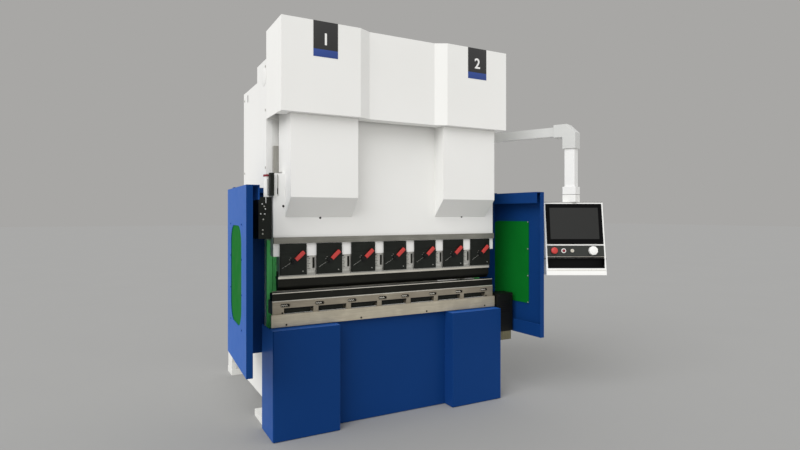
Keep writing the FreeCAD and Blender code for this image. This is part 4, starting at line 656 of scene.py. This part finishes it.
LEVER_FACE = (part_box("clamp_lever_1")[1].y - COVER_FRONT_Y) / MM
for count in range(1, LEVER_COUNT + 1):
    body = "lever_" + str(count)
    pivot = Vector(joints["lever_turn_" + str(count)]["pos_m"])
    spot = Matrix.Translation((pivot.x, COVER_FRONT_Y + LEVER_FACE * MM, pivot.z))
    seat = spot @ FACING["front"]
    along = seat @ spin(LEVER_ANGLE, "Z")
    grip = bmesh.new()
    sawn(grip, GRIP_OUTLINE, GRIP_THICKNESS, along, rim=2.4)
    made = piece("lever_grip_" + str(count), grip, red_plastic, body)
    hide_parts("clamp_lever_" + str(count))
    hub = bmesh.new()
    sawn(hub, TONGUE_OUTLINE, GRIP_THICKNESS - 2.0, along, rim=1.0)
    turn(hub, BOSS, seat)
    piece("lever_hub_" + str(count), hub, black_plastic, body)

# %% [markdown]
# Clamp faces
# On each black clamp there are three blackened socket screws, one small bright one at the lower
# right, two pale index dots beside the lever's pin and a slim spring wire that runs down to the
# left. They are seated on the clamp's milled face, outside the circle in which the lever turns.

# %% Screws, dots and wires on the clamps
CLAMP_FACE_Y = 52.0
RECESSED_FACE_Y = 56.0
LEVERS = [joints["lever_turn_" + str(count)] for count in range(1, LEVER_COUNT + 1)]
PIVOT_Z = LEVERS[0]["pos_m"][2] / MM
STATIONS = [lever["pos_m"][0] / MM for lever in LEVERS]
CLAMP_SCREWS = (
    (-35, -37, CLAMP_FACE_Y, 5.0),
    (-61, 78, RECESSED_FACE_Y, 6.0),
    (52, 76, RECESSED_FACE_Y, 5.0),
)
BRIGHT_SCREW = (53, -54)
INDEX_DOTS = ((-17, 22), (-24, 12))
WIRE_FROM = (-66.0, -34.0)
WIRE_TO = (-17.0, -5.0)
WIRE_RADIUS = 0.6
DOT = [(1.9, 0.0), (1.9, 0.12), (1.6, 0.2)]

dark_screws, bright_screws = bmesh.new(), bmesh.new()
dots, wires = bmesh.new(), bmesh.new()
for middle in STATIONS:
    for across, up, face_y, radius in CLAMP_SCREWS:
        cap_screw(dark_screws, put(middle + across, face_y, PIVOT_Z + up), radius=radius, rise=2.0)
    across, up = BRIGHT_SCREW
    cap_screw(bright_screws, put(middle + across, CLAMP_FACE_Y, PIVOT_Z + up), radius=3.0, rise=1.4)
    for across, up in INDEX_DOTS:
        turn(dots, DOT, put(middle + across, CLAMP_FACE_Y, PIVOT_Z + up), sides=16)
    wire_y = CLAMP_FACE_Y - WIRE_RADIUS
    ends = [machine(middle + x, wire_y, PIVOT_Z + z) for x, z in (WIRE_FROM, WIRE_TO)]
    wire(wires, ends, WIRE_RADIUS)
piece("clamp_dark_screws", dark_screws, black_oxide, "ram")
piece("clamp_bright_screws", bright_screws, screw_steel, "ram")
piece("clamp_index_dots", dots, screw_steel, "ram")
piece("clamp_spring_wires", wires, screw_steel, "ram")

# %% [markdown]
# Adapter scales
# Each silver adapter carries a pale scale plate with inked marks, a locking screw above it and a
# black key in the groove at its right. The ledge below is plated and bright. The marks are laid
# as thin black bars on the plate, some long and some short as on a rule, because lines of their
# real 0.2 mm would be lost in the picture.

# %% Scale plates, marks and keys on the adapters
ADAPTER_FACE_Y = 66.0
PLATE_LEFT, PLATE_ACROSS = 78.5, 33.0
SCALE_LOW, SCALE_HIGH = 920.0, 984.0
SCALE_MIDDLE = (SCALE_LOW + SCALE_HIGH) / 2
MARK_ROWS, LONG_MARK, SHORT_MARK = 7, 18.0, 11.0
GROOVE_MIDDLE, GROOVE_LOW, GROOVE_HIGH = 120.0, 925.0, 986.0
LEDGE_Y, LEDGE_LOW, LEDGE_TOP = 63.0, 896.0, 913.0
LEDGE_LEFT, LEDGE_RIGHT = 77.0, 133.0

plates, marks = bmesh.new(), bmesh.new()
keys, ledges, screws = bmesh.new(), bmesh.new(), bmesh.new()
for middle in STATIONS[:-1]:
    spot = put(middle + PLATE_LEFT + PLATE_ACROSS / 2, ADAPTER_FACE_Y, SCALE_MIDDLE)
    block(plates, (PLATE_ACROSS, SCALE_HIGH - SCALE_LOW, 0.6), spot, edge=0.2, steps=1)
    for row in range(MARK_ROWS):
        length = LONG_MARK if row % 3 == 0 else SHORT_MARK
        mark_z = SCALE_LOW + (SCALE_HIGH - SCALE_LOW) * (row + 0.5) / MARK_ROWS
        spot = put(middle + PLATE_LEFT + 4.0 + length / 2, ADAPTER_FACE_Y - 0.6, mark_z)
        block(marks, (length, 2.4, 0.2), spot, edge=0.08, steps=1)
    spot = put(middle + GROOVE_MIDDLE, ADAPTER_FACE_Y + 12.0, (GROOVE_LOW + GROOVE_HIGH) / 2)
    block(keys, (13.0, GROOVE_HIGH - GROOVE_LOW - 2.0, 9.0), spot, edge=1.0)
    spot = put(middle + (LEDGE_LEFT + LEDGE_RIGHT) / 2, LEDGE_Y, (LEDGE_LOW + LEDGE_TOP) / 2)
    size = (LEDGE_RIGHT - LEDGE_LEFT - 1.0, LEDGE_TOP - LEDGE_LOW - 1.0, 0.5)
    block(ledges, size, spot, edge=0.2)
    cap_screw(screws, put(middle + PLATE_LEFT + 8.0, ADAPTER_FACE_Y, 990.5), radius=4.0, rise=2.0)
piece("adapter_scale_plates", plates, screw_steel, "ram")
piece("adapter_scale_marks", marks, black_plastic, "ram")
piece("adapter_keys", keys, tool_steel, "ram")
piece("adapter_ledge_faces", ledges, screw_steel, "ram")
piece("adapter_screws", screws, black_oxide, "ram")

# %% [markdown]
# Ground edges of the tools
# Press brake tools are blackened all over and then ground on the faces that must be true: the
# punch's shoulder, the top of the die's front and the chamfer along the rail. These faces are
# the bright lines in the picture. Each is a thin skin on its CAD face, with its edges broken.

# %% Bright ground edges
PUNCH_HALF, SHOULDER_Y, SHOULDER_LOW, SHOULDER_TOP = 722.0, 70.0, 871.5, 884.5
DIE_LOW, DIE_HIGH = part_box("lower_die")
RAIL_LOW, RAIL_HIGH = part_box("die_rail")
DIE_FRONT = (DIE_LOW.y - COVER_FRONT_Y) / MM
RAIL_FRONT = (RAIL_LOW.y - COVER_FRONT_Y) / MM
SKIN = 0.5
DIE_EDGE_HEIGHT = 4.5
RAIL_CHAMFER = 5.0

edge = bmesh.new()
size = (2 * PUNCH_HALF, SHOULDER_TOP - SHOULDER_LOW, SKIN)
block(edge, size, put(0, SHOULDER_Y, (SHOULDER_LOW + SHOULDER_TOP) / 2), edge=0.2, steps=1)
piece("punch_ground_shoulder", edge, bright_edge, "ram")
edge = bmesh.new()
length = (DIE_HIGH.x - DIE_LOW.x) / MM
spot = put(0, DIE_FRONT, DIE_HIGH.z / MM - DIE_EDGE_HEIGHT / 2)
block(edge, (length, DIE_EDGE_HEIGHT, SKIN), spot, edge=0.2, steps=1)
length = (RAIL_HIGH.x - RAIL_LOW.x) / MM
chamfer = put(0, RAIL_FRONT + RAIL_CHAMFER / 2, RAIL_HIGH.z / MM - RAIL_CHAMFER / 2)
chamfer = chamfer @ spin(-45, "X")
block(edge, (length, RAIL_CHAMFER * 1.4, SKIN), chamfer, edge=0.2, steps=1)
piece("die_and_rail_ground_edges", edge, bright_edge)

# %% [markdown]
# Crowning adjusters
# A long die bends less in its middle than at its ends, so wedges under it are set by hand. In
# each pocket of the rail sits a bright toothed wedge on a black back plate, with a dark screw
# head at its right. The wedge is a sawn outline. A black strip along each window's top is painted
# shade.

# %% Toothed wedges in the rail's pockets
POCKET_PITCH, POCKET_OFFSET = 201.0, 78.0
POCKET_Z, POCKET_DEPTH = 724.0, 9.0
WINDOW_TOP, WINDOW_WIDTH, WINDOW_COUNT = 702.0, 171.0, 7
TABLE_HOLES = (-678.0, -226.0, 226.0, 678.0)
TABLE_HOLE_Z, TABLE_FRONT_Y = 619.0, 60.0
TEETH = [(-22 + 6 * count, 5.5 if count % 2 else -1.5) for count in range(7)]
TEETH += [(x, z - 4.0) for x, z in reversed(TEETH)]

wedges, dark = bmesh.new(), bmesh.new()
for side in (-1, 1):
    for count in range(4):
        middle = side * (POCKET_OFFSET + POCKET_PITCH * count)
        bottom = RAIL_FRONT + POCKET_DEPTH
        block(dark, (45.0, 15.5, 1.0), put(middle, bottom, POCKET_Z), edge=0.3, steps=1)
        sawn(wedges, TEETH, 6.5, put(middle, bottom - 1.0, POCKET_Z), rim=0.4, steps=1)
        cap_screw(dark, put(middle + 19.0, bottom - 1.0, POCKET_Z), radius=5.5, rise=7.0)
    cap_screw(dark, put(side * 698.0, RAIL_FRONT, 683.0), radius=5.0, rise=2.0)
# Painted shade: a thin black strip along the top of each window stands for the shadow in it.
for count in range(WINDOW_COUNT):
    middle = POCKET_PITCH * (count - (WINDOW_COUNT - 1) / 2)
    spot = put(middle, RAIL_FRONT, WINDOW_TOP + 3.5)
    block(dark, (WINDOW_WIDTH, 7.0, 0.4), spot, edge=0.15, steps=1)
for x in TABLE_HOLES:
    cap_screw(dark, put(x, TABLE_FRONT_Y, TABLE_HOLE_Z), radius=5.5, rise=1.0)
piece("crowning_toothed_wedges", wedges, bright_edge)
piece("table_dark_details_and_painted_window_shade", dark, tray_liner)

# %% [markdown]
# Cover screws
# The ram plate and the side covers are screwed on. The heads are small, and they sit where the
# sheet needs them, near its corners and steps. A faint round cap closes a hole in each side
# cover. On the ram they are blackened and look like dots; on the sides they are zinc plated.

# %% Screws in the covers
RAM_FACE_Y = 66.0
RAM_SCREWS = ((-694, 1275), (694, 1275), (-479, 1210), (495, 1214))
SIDE_SCREWS = (
    (244, 2083), (244, 1832), (244, 1500), (780, 1979), (780, 1500), (780, 700), (780, 240),
)
SIDE_COVER_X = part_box("side_cover_right")[1].x / MM
CAP_PLACE = (278, 2029)
CAP_PROFILE = [(52.0, 0.0), (52.0, 1.0), (48.0, 2.2), (20.0, 2.6)]

screws = bmesh.new()
for x, z in RAM_SCREWS:
    button_screw(screws, put(x, RAM_FACE_Y, z), radius=6.5)
piece("ram_cover_screws", screws, black_oxide, "ram")
screws, caps = bmesh.new(), bmesh.new()
for facing, side_x in (("left", -SIDE_COVER_X), ("right", SIDE_COVER_X)):
    for y, z in SIDE_SCREWS:
        button_screw(screws, put(side_x, y, z, facing), radius=8.0)
    turn(caps, CAP_PROFILE, put(side_x, *CAP_PLACE, facing), sides=40)
piece("side_cover_screws", screws, screw_steel)
piece("side_cover_caps", caps, side_powder)

# %% [markdown]
# Guard fittings
# The green windows are clamped from behind by four studs on each upright edge: outside there
# are low heads painted with the guard, inside bright domed nuts. The guards are splayed a
# little, so the studs are placed in the guard's own plane: a distance back and a height.

# %% Guard window screws
GUARD_FRONT_X = 956.0
GUARD_FRONT_Y = -206.0
GUARD_SPLAY = math.radians(2.85)
GUARD_SCREW_BACK = (137.0, 503.0)
GUARD_SCREW_HEIGHTS = (1178.0, 998.0, 818.0, 639.0)
GUARD_NUT_DEPTH = 8.2
GUARD_NUT = [(4.6, 0.0), (4.6, 2.4), (3.6, 4.6), (1.8, 5.6)]

screws, nuts = bmesh.new(), bmesh.new()
for sign in (-1, 1):
    lean = Matrix.Rotation(sign * GUARD_SPLAY, 4, "Z")
    for back in GUARD_SCREW_BACK:
        for height in GUARD_SCREW_HEIGHTS:
            x = sign * (GUARD_FRONT_X - back * math.sin(GUARD_SPLAY))
            y = GUARD_FRONT_Y + back * math.cos(GUARD_SPLAY)
            spot = Matrix.Translation(machine(x, y, height)) @ lean
            outer = spin(sign * 90, "Y")
            button_screw(screws, spot @ outer, radius=5.0, rise=2.5)
            sunk = Matrix.Translation((-sign * GUARD_NUT_DEPTH * MM, 0, 0))
            inner = spin(-sign * 90, "Y")
            turn(nuts, GUARD_NUT, spot @ sunk @ inner, sides=20)
piece("guard_window_heads", screws, blue_powder)
piece("guard_window_nuts", nuts, screw_steel)

# %% [markdown]
# Lubrication block
# On the left of the ram stands a black distributor with an oil cup on top. White caps and
# plated unions close its ports, a short clear tube comes down from the cup, and the cup has a
# dark red lid and an upright level line. They are turned pieces, set on the block's face.

# %% Fittings of the lubrication block
VALVE_FACE_Y = 85.0
CUP_PLACE = (-775.0, 105.0)
CUP_RADIUS, CUP_LOW, CUP_TOP = 18.0, 1325.0, 1433.0
WHITE_CAPS = ((-807, 1286), (-790, 1259), (-815, 1232), (-793, 1232))
UNIONS = ((-796, 1273), (-801, 1202), (-804, 1144), (-804, 1123))
CAP = [(4.0, 0.0), (4.0, 5.0), (3.2, 6.6), (1.5, 7.0)]
PORT = [(4.6, 0.0), (4.6, 3.0), (3.0, 3.5), (3.0, 7.0), (1.6, 7.4)]
LID = [(20.0, -4.0), (20.3, -3.0), (20.3, 6.5), (18.6, 8.6), (7.0, 9.2), (6.0, 11.0), (3.0, 11.6)]

caps, ports, lid = bmesh.new(), bmesh.new(), bmesh.new()
for x, z in WHITE_CAPS:
    turn(caps, CAP, put(x, VALVE_FACE_Y, z), sides=20)
for x, z in UNIONS:
    turn(ports, PORT, put(x, VALVE_FACE_Y, z), sides=20)
turn(lid, LID, put(*CUP_PLACE, 1441.0, "up"), sides=36)
piece("valve_caps", caps, white_plastic)
piece("valve_unions", ports, screw_steel)
piece("oil_cup_lid", lid, dark_red_plastic)
line = bmesh.new()
level = Vector((0.2, -CUP_RADIUS, 0)) * MM
ends = [machine(*CUP_PLACE, z) + level for z in (CUP_LOW + 8.0, CUP_TOP - 10.0)]
wire(line, ends, 1.3)
piece("oil_cup_level_line", line, black_plastic)
tube = bmesh.new()
wire(tube, [machine(*spot) for spot in ((-786, 83, 1322), (-786, 83, 1292))], 2.0)
piece("oil_tube", tube, cup_plastic)

# %% [markdown]
# Position scales and drive box
# A pale scale tape runs in the slot at the ram's left edge and ends in a dark reading head. The
# black box at the table's right end houses the crowning motor: it has cooling slots in its
# front, blackened screws and a chromated foot plate.

# %% Scale tape, reading head and vents
SLOT_X = -726.0
DRIVE_MIDDLE, DRIVE_FRONT_Y = 837.5, 37.0
VENT_COUNT = 6

tape, reader = bmesh.new(), bmesh.new()
block(tape, (5.0, 74.0, 0.8), put(SLOT_X, RAM_FACE_Y, 1412), edge=0.3, steps=1)
block(reader, (5.0, 34.0, 1.6), put(SLOT_X, RAM_FACE_Y, 1357), edge=0.5)
piece("position_tape", tape, adapter_steel, "ram")
piece("position_reader", reader, black_plastic, "ram")
vents = bmesh.new()
for row in range(VENT_COUNT):
    block(vents, (70.0, 5.0, 1.0), put(DRIVE_MIDDLE, DRIVE_FRONT_Y, 640 - 14 * row), edge=0.4)
piece("drive_box_vents", vents, tray_liner)
screws = bmesh.new()
for x in (DRIVE_MIDDLE - 56, DRIVE_MIDDLE + 56):
    for z in (450.0, 680.0):
        button_screw(screws, put(x, DRIVE_FRONT_Y, z), radius=5.0)
piece("drive_box_screws", screws, black_oxide)
foot = bmesh.new()
block(foot, (113.0, 56.0, 0.8), put(826.5, DRIVE_FRONT_Y, 408), edge=0.3, steps=1)
piece("drive_box_foot_plate", foot, foot_steel)

# %% [markdown]
# Control panel
# The panel leans back, so its pieces are placed by a matrix that follows its face: across,
# up the slope and outwards. The display is a dark film behind black glass with a thin bezel.
# Below it lie a printed strip and two silver trims, and a black gasket runs along the top edge.

# %% Display, strip and trims on the control panel
SWIVEL = Vector(joints["panel_swivel"]["pos_m"])
PANEL_FACING = math.radians(-28.2)
PANEL_TOP, PANEL_BOTTOM, PANEL_HALF = 1312.0, 833.0, 196.0
PANEL_TOP_FRONT, PANEL_LEAN = 40.0, 80.0
PANEL_SLOPE = math.atan2(PANEL_LEAN, PANEL_TOP - PANEL_BOTTOM)
GLASS_RISE = 3.0 * math.cos(PANEL_SLOPE)


def pendant_axis(bearing):
    """The pendant's upright axis, turned to a bearing."""
    return Matrix.Translation((SWIVEL.x, SWIVEL.y, 0)) @ Matrix.Rotation(bearing, 4, "Z")


def leaning_y(z):
    """The y of the leaning face at a height, in mm from the pendant's axis."""
    return -(PANEL_TOP_FRONT + PANEL_LEAN * (PANEL_TOP - z) / (PANEL_TOP - PANEL_BOTTOM))


def on_panel(across, z, rise=0.0):
    """The matrix of a place on the leaning face, rise mm off the sheet."""
    spot = Matrix.Translation((across * MM, leaning_y(z) * MM, z * MM))
    lean = Matrix.Rotation(math.radians(90) - PANEL_SLOPE, 4, "X")
    return pendant_axis(PANEL_FACING) @ spot @ lean @ Matrix.Translation((0, 0, rise * MM))


def panel_piece(name, target, material):
    """A piece that swivels with the control panel."""
    return piece(name, target, material, "control_panel")


display = bmesh.new()
block(display, (321.0, 209.0, 0.4), on_panel(0, 1170.0, GLASS_RISE), edge=0.1, steps=1)
panel_piece("panel_display", display, display_film)
foil = bmesh.new()
block(foil, (368.0, 68.0, 0.5), on_panel(0, 989.5, GLASS_RISE), edge=0.15, steps=1)
panel_piece("panel_button_foil", foil, panel_foil)
trims = bmesh.new()
block(trims, (372.0, 1.8, 3.6), on_panel(0, 951.5), edge=0.5)
block(trims, (384.0, 3.0, 2.4), on_panel(0, 866.0), edge=0.8)
panel_piece("panel_silver_trim", trims, bright_edge)
lips = bmesh.new()
block(lips, (372.0, 7.0, 0.8), on_panel(0, 946.8), edge=0.2, steps=1)
block(lips, (388.0, 2.6, 1.6), on_panel(0, 1310.2), edge=0.5)
panel_piece("panel_dark_lip_and_gasket", lips, tray_liner)

# %% [markdown]
# Buttons
# The strip carries a red stop button, a white ring button with a dark red centre and a key
# switch with its slotted barrel. Each is turned from a profile and stands on the strip. Black
# collars lie under three of the controls, where their mounting rings are.

# %% Buttons and collars on the strip
BUTTON_Z = 990.0
STRIP_RISE = GLASS_RISE + 0.5
STOP_X, RING_X, KEY_X, WHEEL_X = -144.0, -80.0, -24.0, 110.0
MUSHROOM = [
    (11.0, 0.0), (11.0, 9.0), (21.0, 12.0), (22.0, 15.0),
    (22.0, 18.0), (20.0, 22.0), (14.0, 24.8), (6.0, 25.8),
]
RING = [(15.5, 0.0), (15.5, 5.0), (14.5, 7.0), (11.0, 7.6), (10.2, 6.0), (10.2, 5.0)]
RING_CENTRE = [(9.6, 4.0), (9.6, 8.0), (8.6, 9.6), (4.0, 10.2)]
KEY_BARREL = [(12.4, 0.0), (12.4, 6.0), (11.2, 8.0), (4.0, 8.0), (4.0, 6.5)]


def on_strip(across, lift=0.0):
    """A place on the button strip, lift mm off its film."""
    return on_panel(across, BUTTON_Z, STRIP_RISE + lift)


collars = bmesh.new()
for across, radius in ((STOP_X, 17.0), (KEY_X, 13.5), (WHEEL_X, 20.0)):
    collar = [(radius, 0.0), (radius, 2.0), (radius - 1.2, 3.2)]
    turn(collars, collar, on_strip(across), sides=36)
panel_piece("panel_black_collars", collars, black_plastic)
stop = bmesh.new()
turn(stop, MUSHROOM, on_strip(STOP_X), sides=40)
made = panel_piece("panel_stop_button", stop, red_plastic)
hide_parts("panel_controls")
ring = bmesh.new()
turn(ring, RING, on_strip(RING_X), sides=36)
panel_piece("panel_ring", ring, white_plastic)
centre = bmesh.new()
turn(centre, RING_CENTRE, on_strip(RING_X), sides=32)
panel_piece("panel_ring_centre", centre, dark_red_plastic)
key = bmesh.new()
turn(key, KEY_BARREL, on_strip(KEY_X), sides=32)
block(key, (2.2, 9.0, 9.0), on_strip(KEY_X, 6.0), edge=0.5)
panel_piece("panel_key_switch", key, bright_edge)

# %% [markdown]
# Hand wheel
# The white hand wheel is gripped by the finger tips, so its rim has nine shallow grooves. Its
# outline is a circle whose radius dips at each groove. It is drawn up and its rim is rounded,
# and a small dimple disc lies on top for one finger.

# %% Grooved hand wheel
KNOB_RADIUS, KNOB_HEIGHT = 29.0, 20.0
GROOVES, GROOVE_DEPTH = 9, 2.2
RIM_POINTS = 90
DIMPLE = [(19.0, 19.9), (19.0, 20.6), (17.0, 21.4), (8.0, 21.6)]

outline = []
for step in range(RIM_POINTS):
    angle = 2 * math.pi * step / RIM_POINTS
    dip = max(0.0, math.cos(GROOVES * angle)) ** 2 * GROOVE_DEPTH
    reach = KNOB_RADIUS - dip
    outline.append((reach * math.cos(angle), reach * math.sin(angle)))
wheel = bmesh.new()
seat = on_strip(WHEEL_X, 3.2)
sawn(wheel, outline, KNOB_HEIGHT, seat, rim=2.2)
turn(wheel, DIMPLE, seat, sides=40)
panel_piece("panel_hand_wheel", wheel, white_plastic)

# %% [markdown]
# Tray and pegs
# The tray's inside is lined with black moulded sheet, so it is dark even in full light. Small
# dark pegs stand out of the panel's sides at the tray, where a cover is hooked on.

# %% Tray liner and pegs
TRAY_LOW, TRAY_HIGH, TRAY_DEEP, TRAY_HALF = 877.0, 943.0, 62.0, 186.0
LINER_MIDDLE, LINER_DEEP, LINER_SHEET = 26.0, 44.0, 1.2
PEG = [(4.0, 0.0), (4.0, 6.0), (3.0, 7.5)]


def in_tray(across, back, z):
    """A place inside the tray, upright, back mm behind the leaning face."""
    spot = (across * MM, (leaning_y(z) + back) * MM, z * MM)
    return pendant_axis(PANEL_FACING) @ Matrix.Translation(spot)


liner = bmesh.new()
width = 2 * TRAY_HALF - 2.0
size = (width, LINER_SHEET, TRAY_HIGH - TRAY_LOW - 2)
block(liner, size, in_tray(0, TRAY_DEEP - 12.5, TRAY_LOW + 1), edge=0.3, steps=1)
for z in (TRAY_LOW + 0.3, TRAY_HIGH - 1.6):
    block(liner, (width, LINER_DEEP, LINER_SHEET), in_tray(0, LINER_MIDDLE, z), edge=0.3, steps=1)
size = (LINER_SHEET, LINER_DEEP, TRAY_HIGH - TRAY_LOW - 3)
for side in (-1, 1):
    spot = in_tray(side * (TRAY_HALF - LINER_SHEET), LINER_MIDDLE, TRAY_LOW + 1.5)
    block(liner, size, spot, edge=0.3, steps=1)
panel_piece("panel_tray_liner", liner, tray_liner)
pegs = bmesh.new()
for side in (-1, 1):
    outward = spin(side * 90, "Y")
    turn(pegs, PEG, in_tray(side * PANEL_HALF, 12.0, 938.0) @ outward, sides=18)
panel_piece("panel_side_pegs", pegs, black_plastic)

# %% [markdown]
# Arm fittings
# The upright tube and both collars stand in line with the arm, and not with the panel, which is
# turned to the operator. Two blackened screws set the tube from behind, out of the operator's
# sight. A thin black seal lies where the collar that swivels with the panel meets the one that
# stands still. It takes the collars' direction, or its corners would stick out.

# %% Screws and seal on the arm
TUBE_HALF, COLLAR_HALF = 35.0, 45.0
SEAL_Z, SEAL_PROUD, SEAL_THICKNESS = 1361.2, 0.5, 1.6
ARM_BEARING = math.radians(-65.4)

screws = bmesh.new()
axis = pendant_axis(ARM_BEARING - math.radians(90))
for z in (1440.0, 1650.0):
    spot = axis @ Matrix.Translation((0, -TUBE_HALF * MM, z * MM)) @ FACING["front"]
    button_screw(screws, spot, radius=4.0, rise=1.8)
piece("arm_tube_screws", screws, black_oxide, "pendant_arm_body")
seal = bmesh.new()
seal_width = 2 * (COLLAR_HALF + SEAL_PROUD)
seat = axis @ Matrix.Translation((0, 0, SEAL_Z * MM))
block(seal, (seal_width, seal_width, SEAL_THICKNESS), seat, edge=0.3, steps=1)
panel_piece("panel_swivel_seal", seal, tray_liner)

# %% [markdown]
# Rear of the machine
# From behind, the head beam and the back gauge show. The beam's web is bolted to brackets near
# the side frames, and the gauge's cross beam to its rails. The stop fingers have hardened
# bright tips, and each motor's back has cooling ribs, cast with its housing.

# %% Bolts, finger tips and motor ribs
WEB_BACK_Y = 275.0
WEB_BOLTS = [
    (side * x, z) for side in (-1, 1) for x in (640.0, 560.0) for z in (1760.0, 1880.0, 1990.0)
]
GAUGE_BOLTS = [
    (side * 400.0 + off, y) for side in (-1, 1) for off in (-28.0, 28.0) for y in (575.0, 605.0)
]
GAUGE_TOP_Z = 760.0
FINGER_X, FINGER_FRONT_Y, FINGER_Z = 260.0, 310.0, 801.0
MOTOR_X, MOTOR_BACK_Y, MOTOR_LOW_Z = 485.5, 100.0, 2090.0
RIB_COUNT, RIB_PITCH = 9, 14

bolts, tips = bmesh.new(), bmesh.new()
for x, z in WEB_BOLTS:
    hex_bolt(bolts, put(x, WEB_BACK_Y, z, "back"), radius=12.0, rise=9.0)
for x, y in GAUGE_BOLTS:
    cap_screw(bolts, put(x, y, GAUGE_TOP_Z, "up"), radius=6.0, rise=6.0)
for side in (-1, 1):
    block(tips, (42.0, 16.0, 3.0), put(side * FINGER_X, FINGER_FRONT_Y, FINGER_Z), edge=0.8)
piece("frame_and_gauge_bolts", bolts, screw_steel)
piece("gauge_finger_tips", tips, bright_edge)
ribs = bmesh.new()
for side in (-1, 1):
    for row in range(RIB_COUNT):
        spot = put(side * MOTOR_X, MOTOR_BACK_Y, MOTOR_LOW_Z + 22 + RIB_PITCH * row, "back")
        block(ribs, (104.0, 4.0, 7.0), spot, edge=1.2)
piece("motor_ribs", ribs, black_powder)
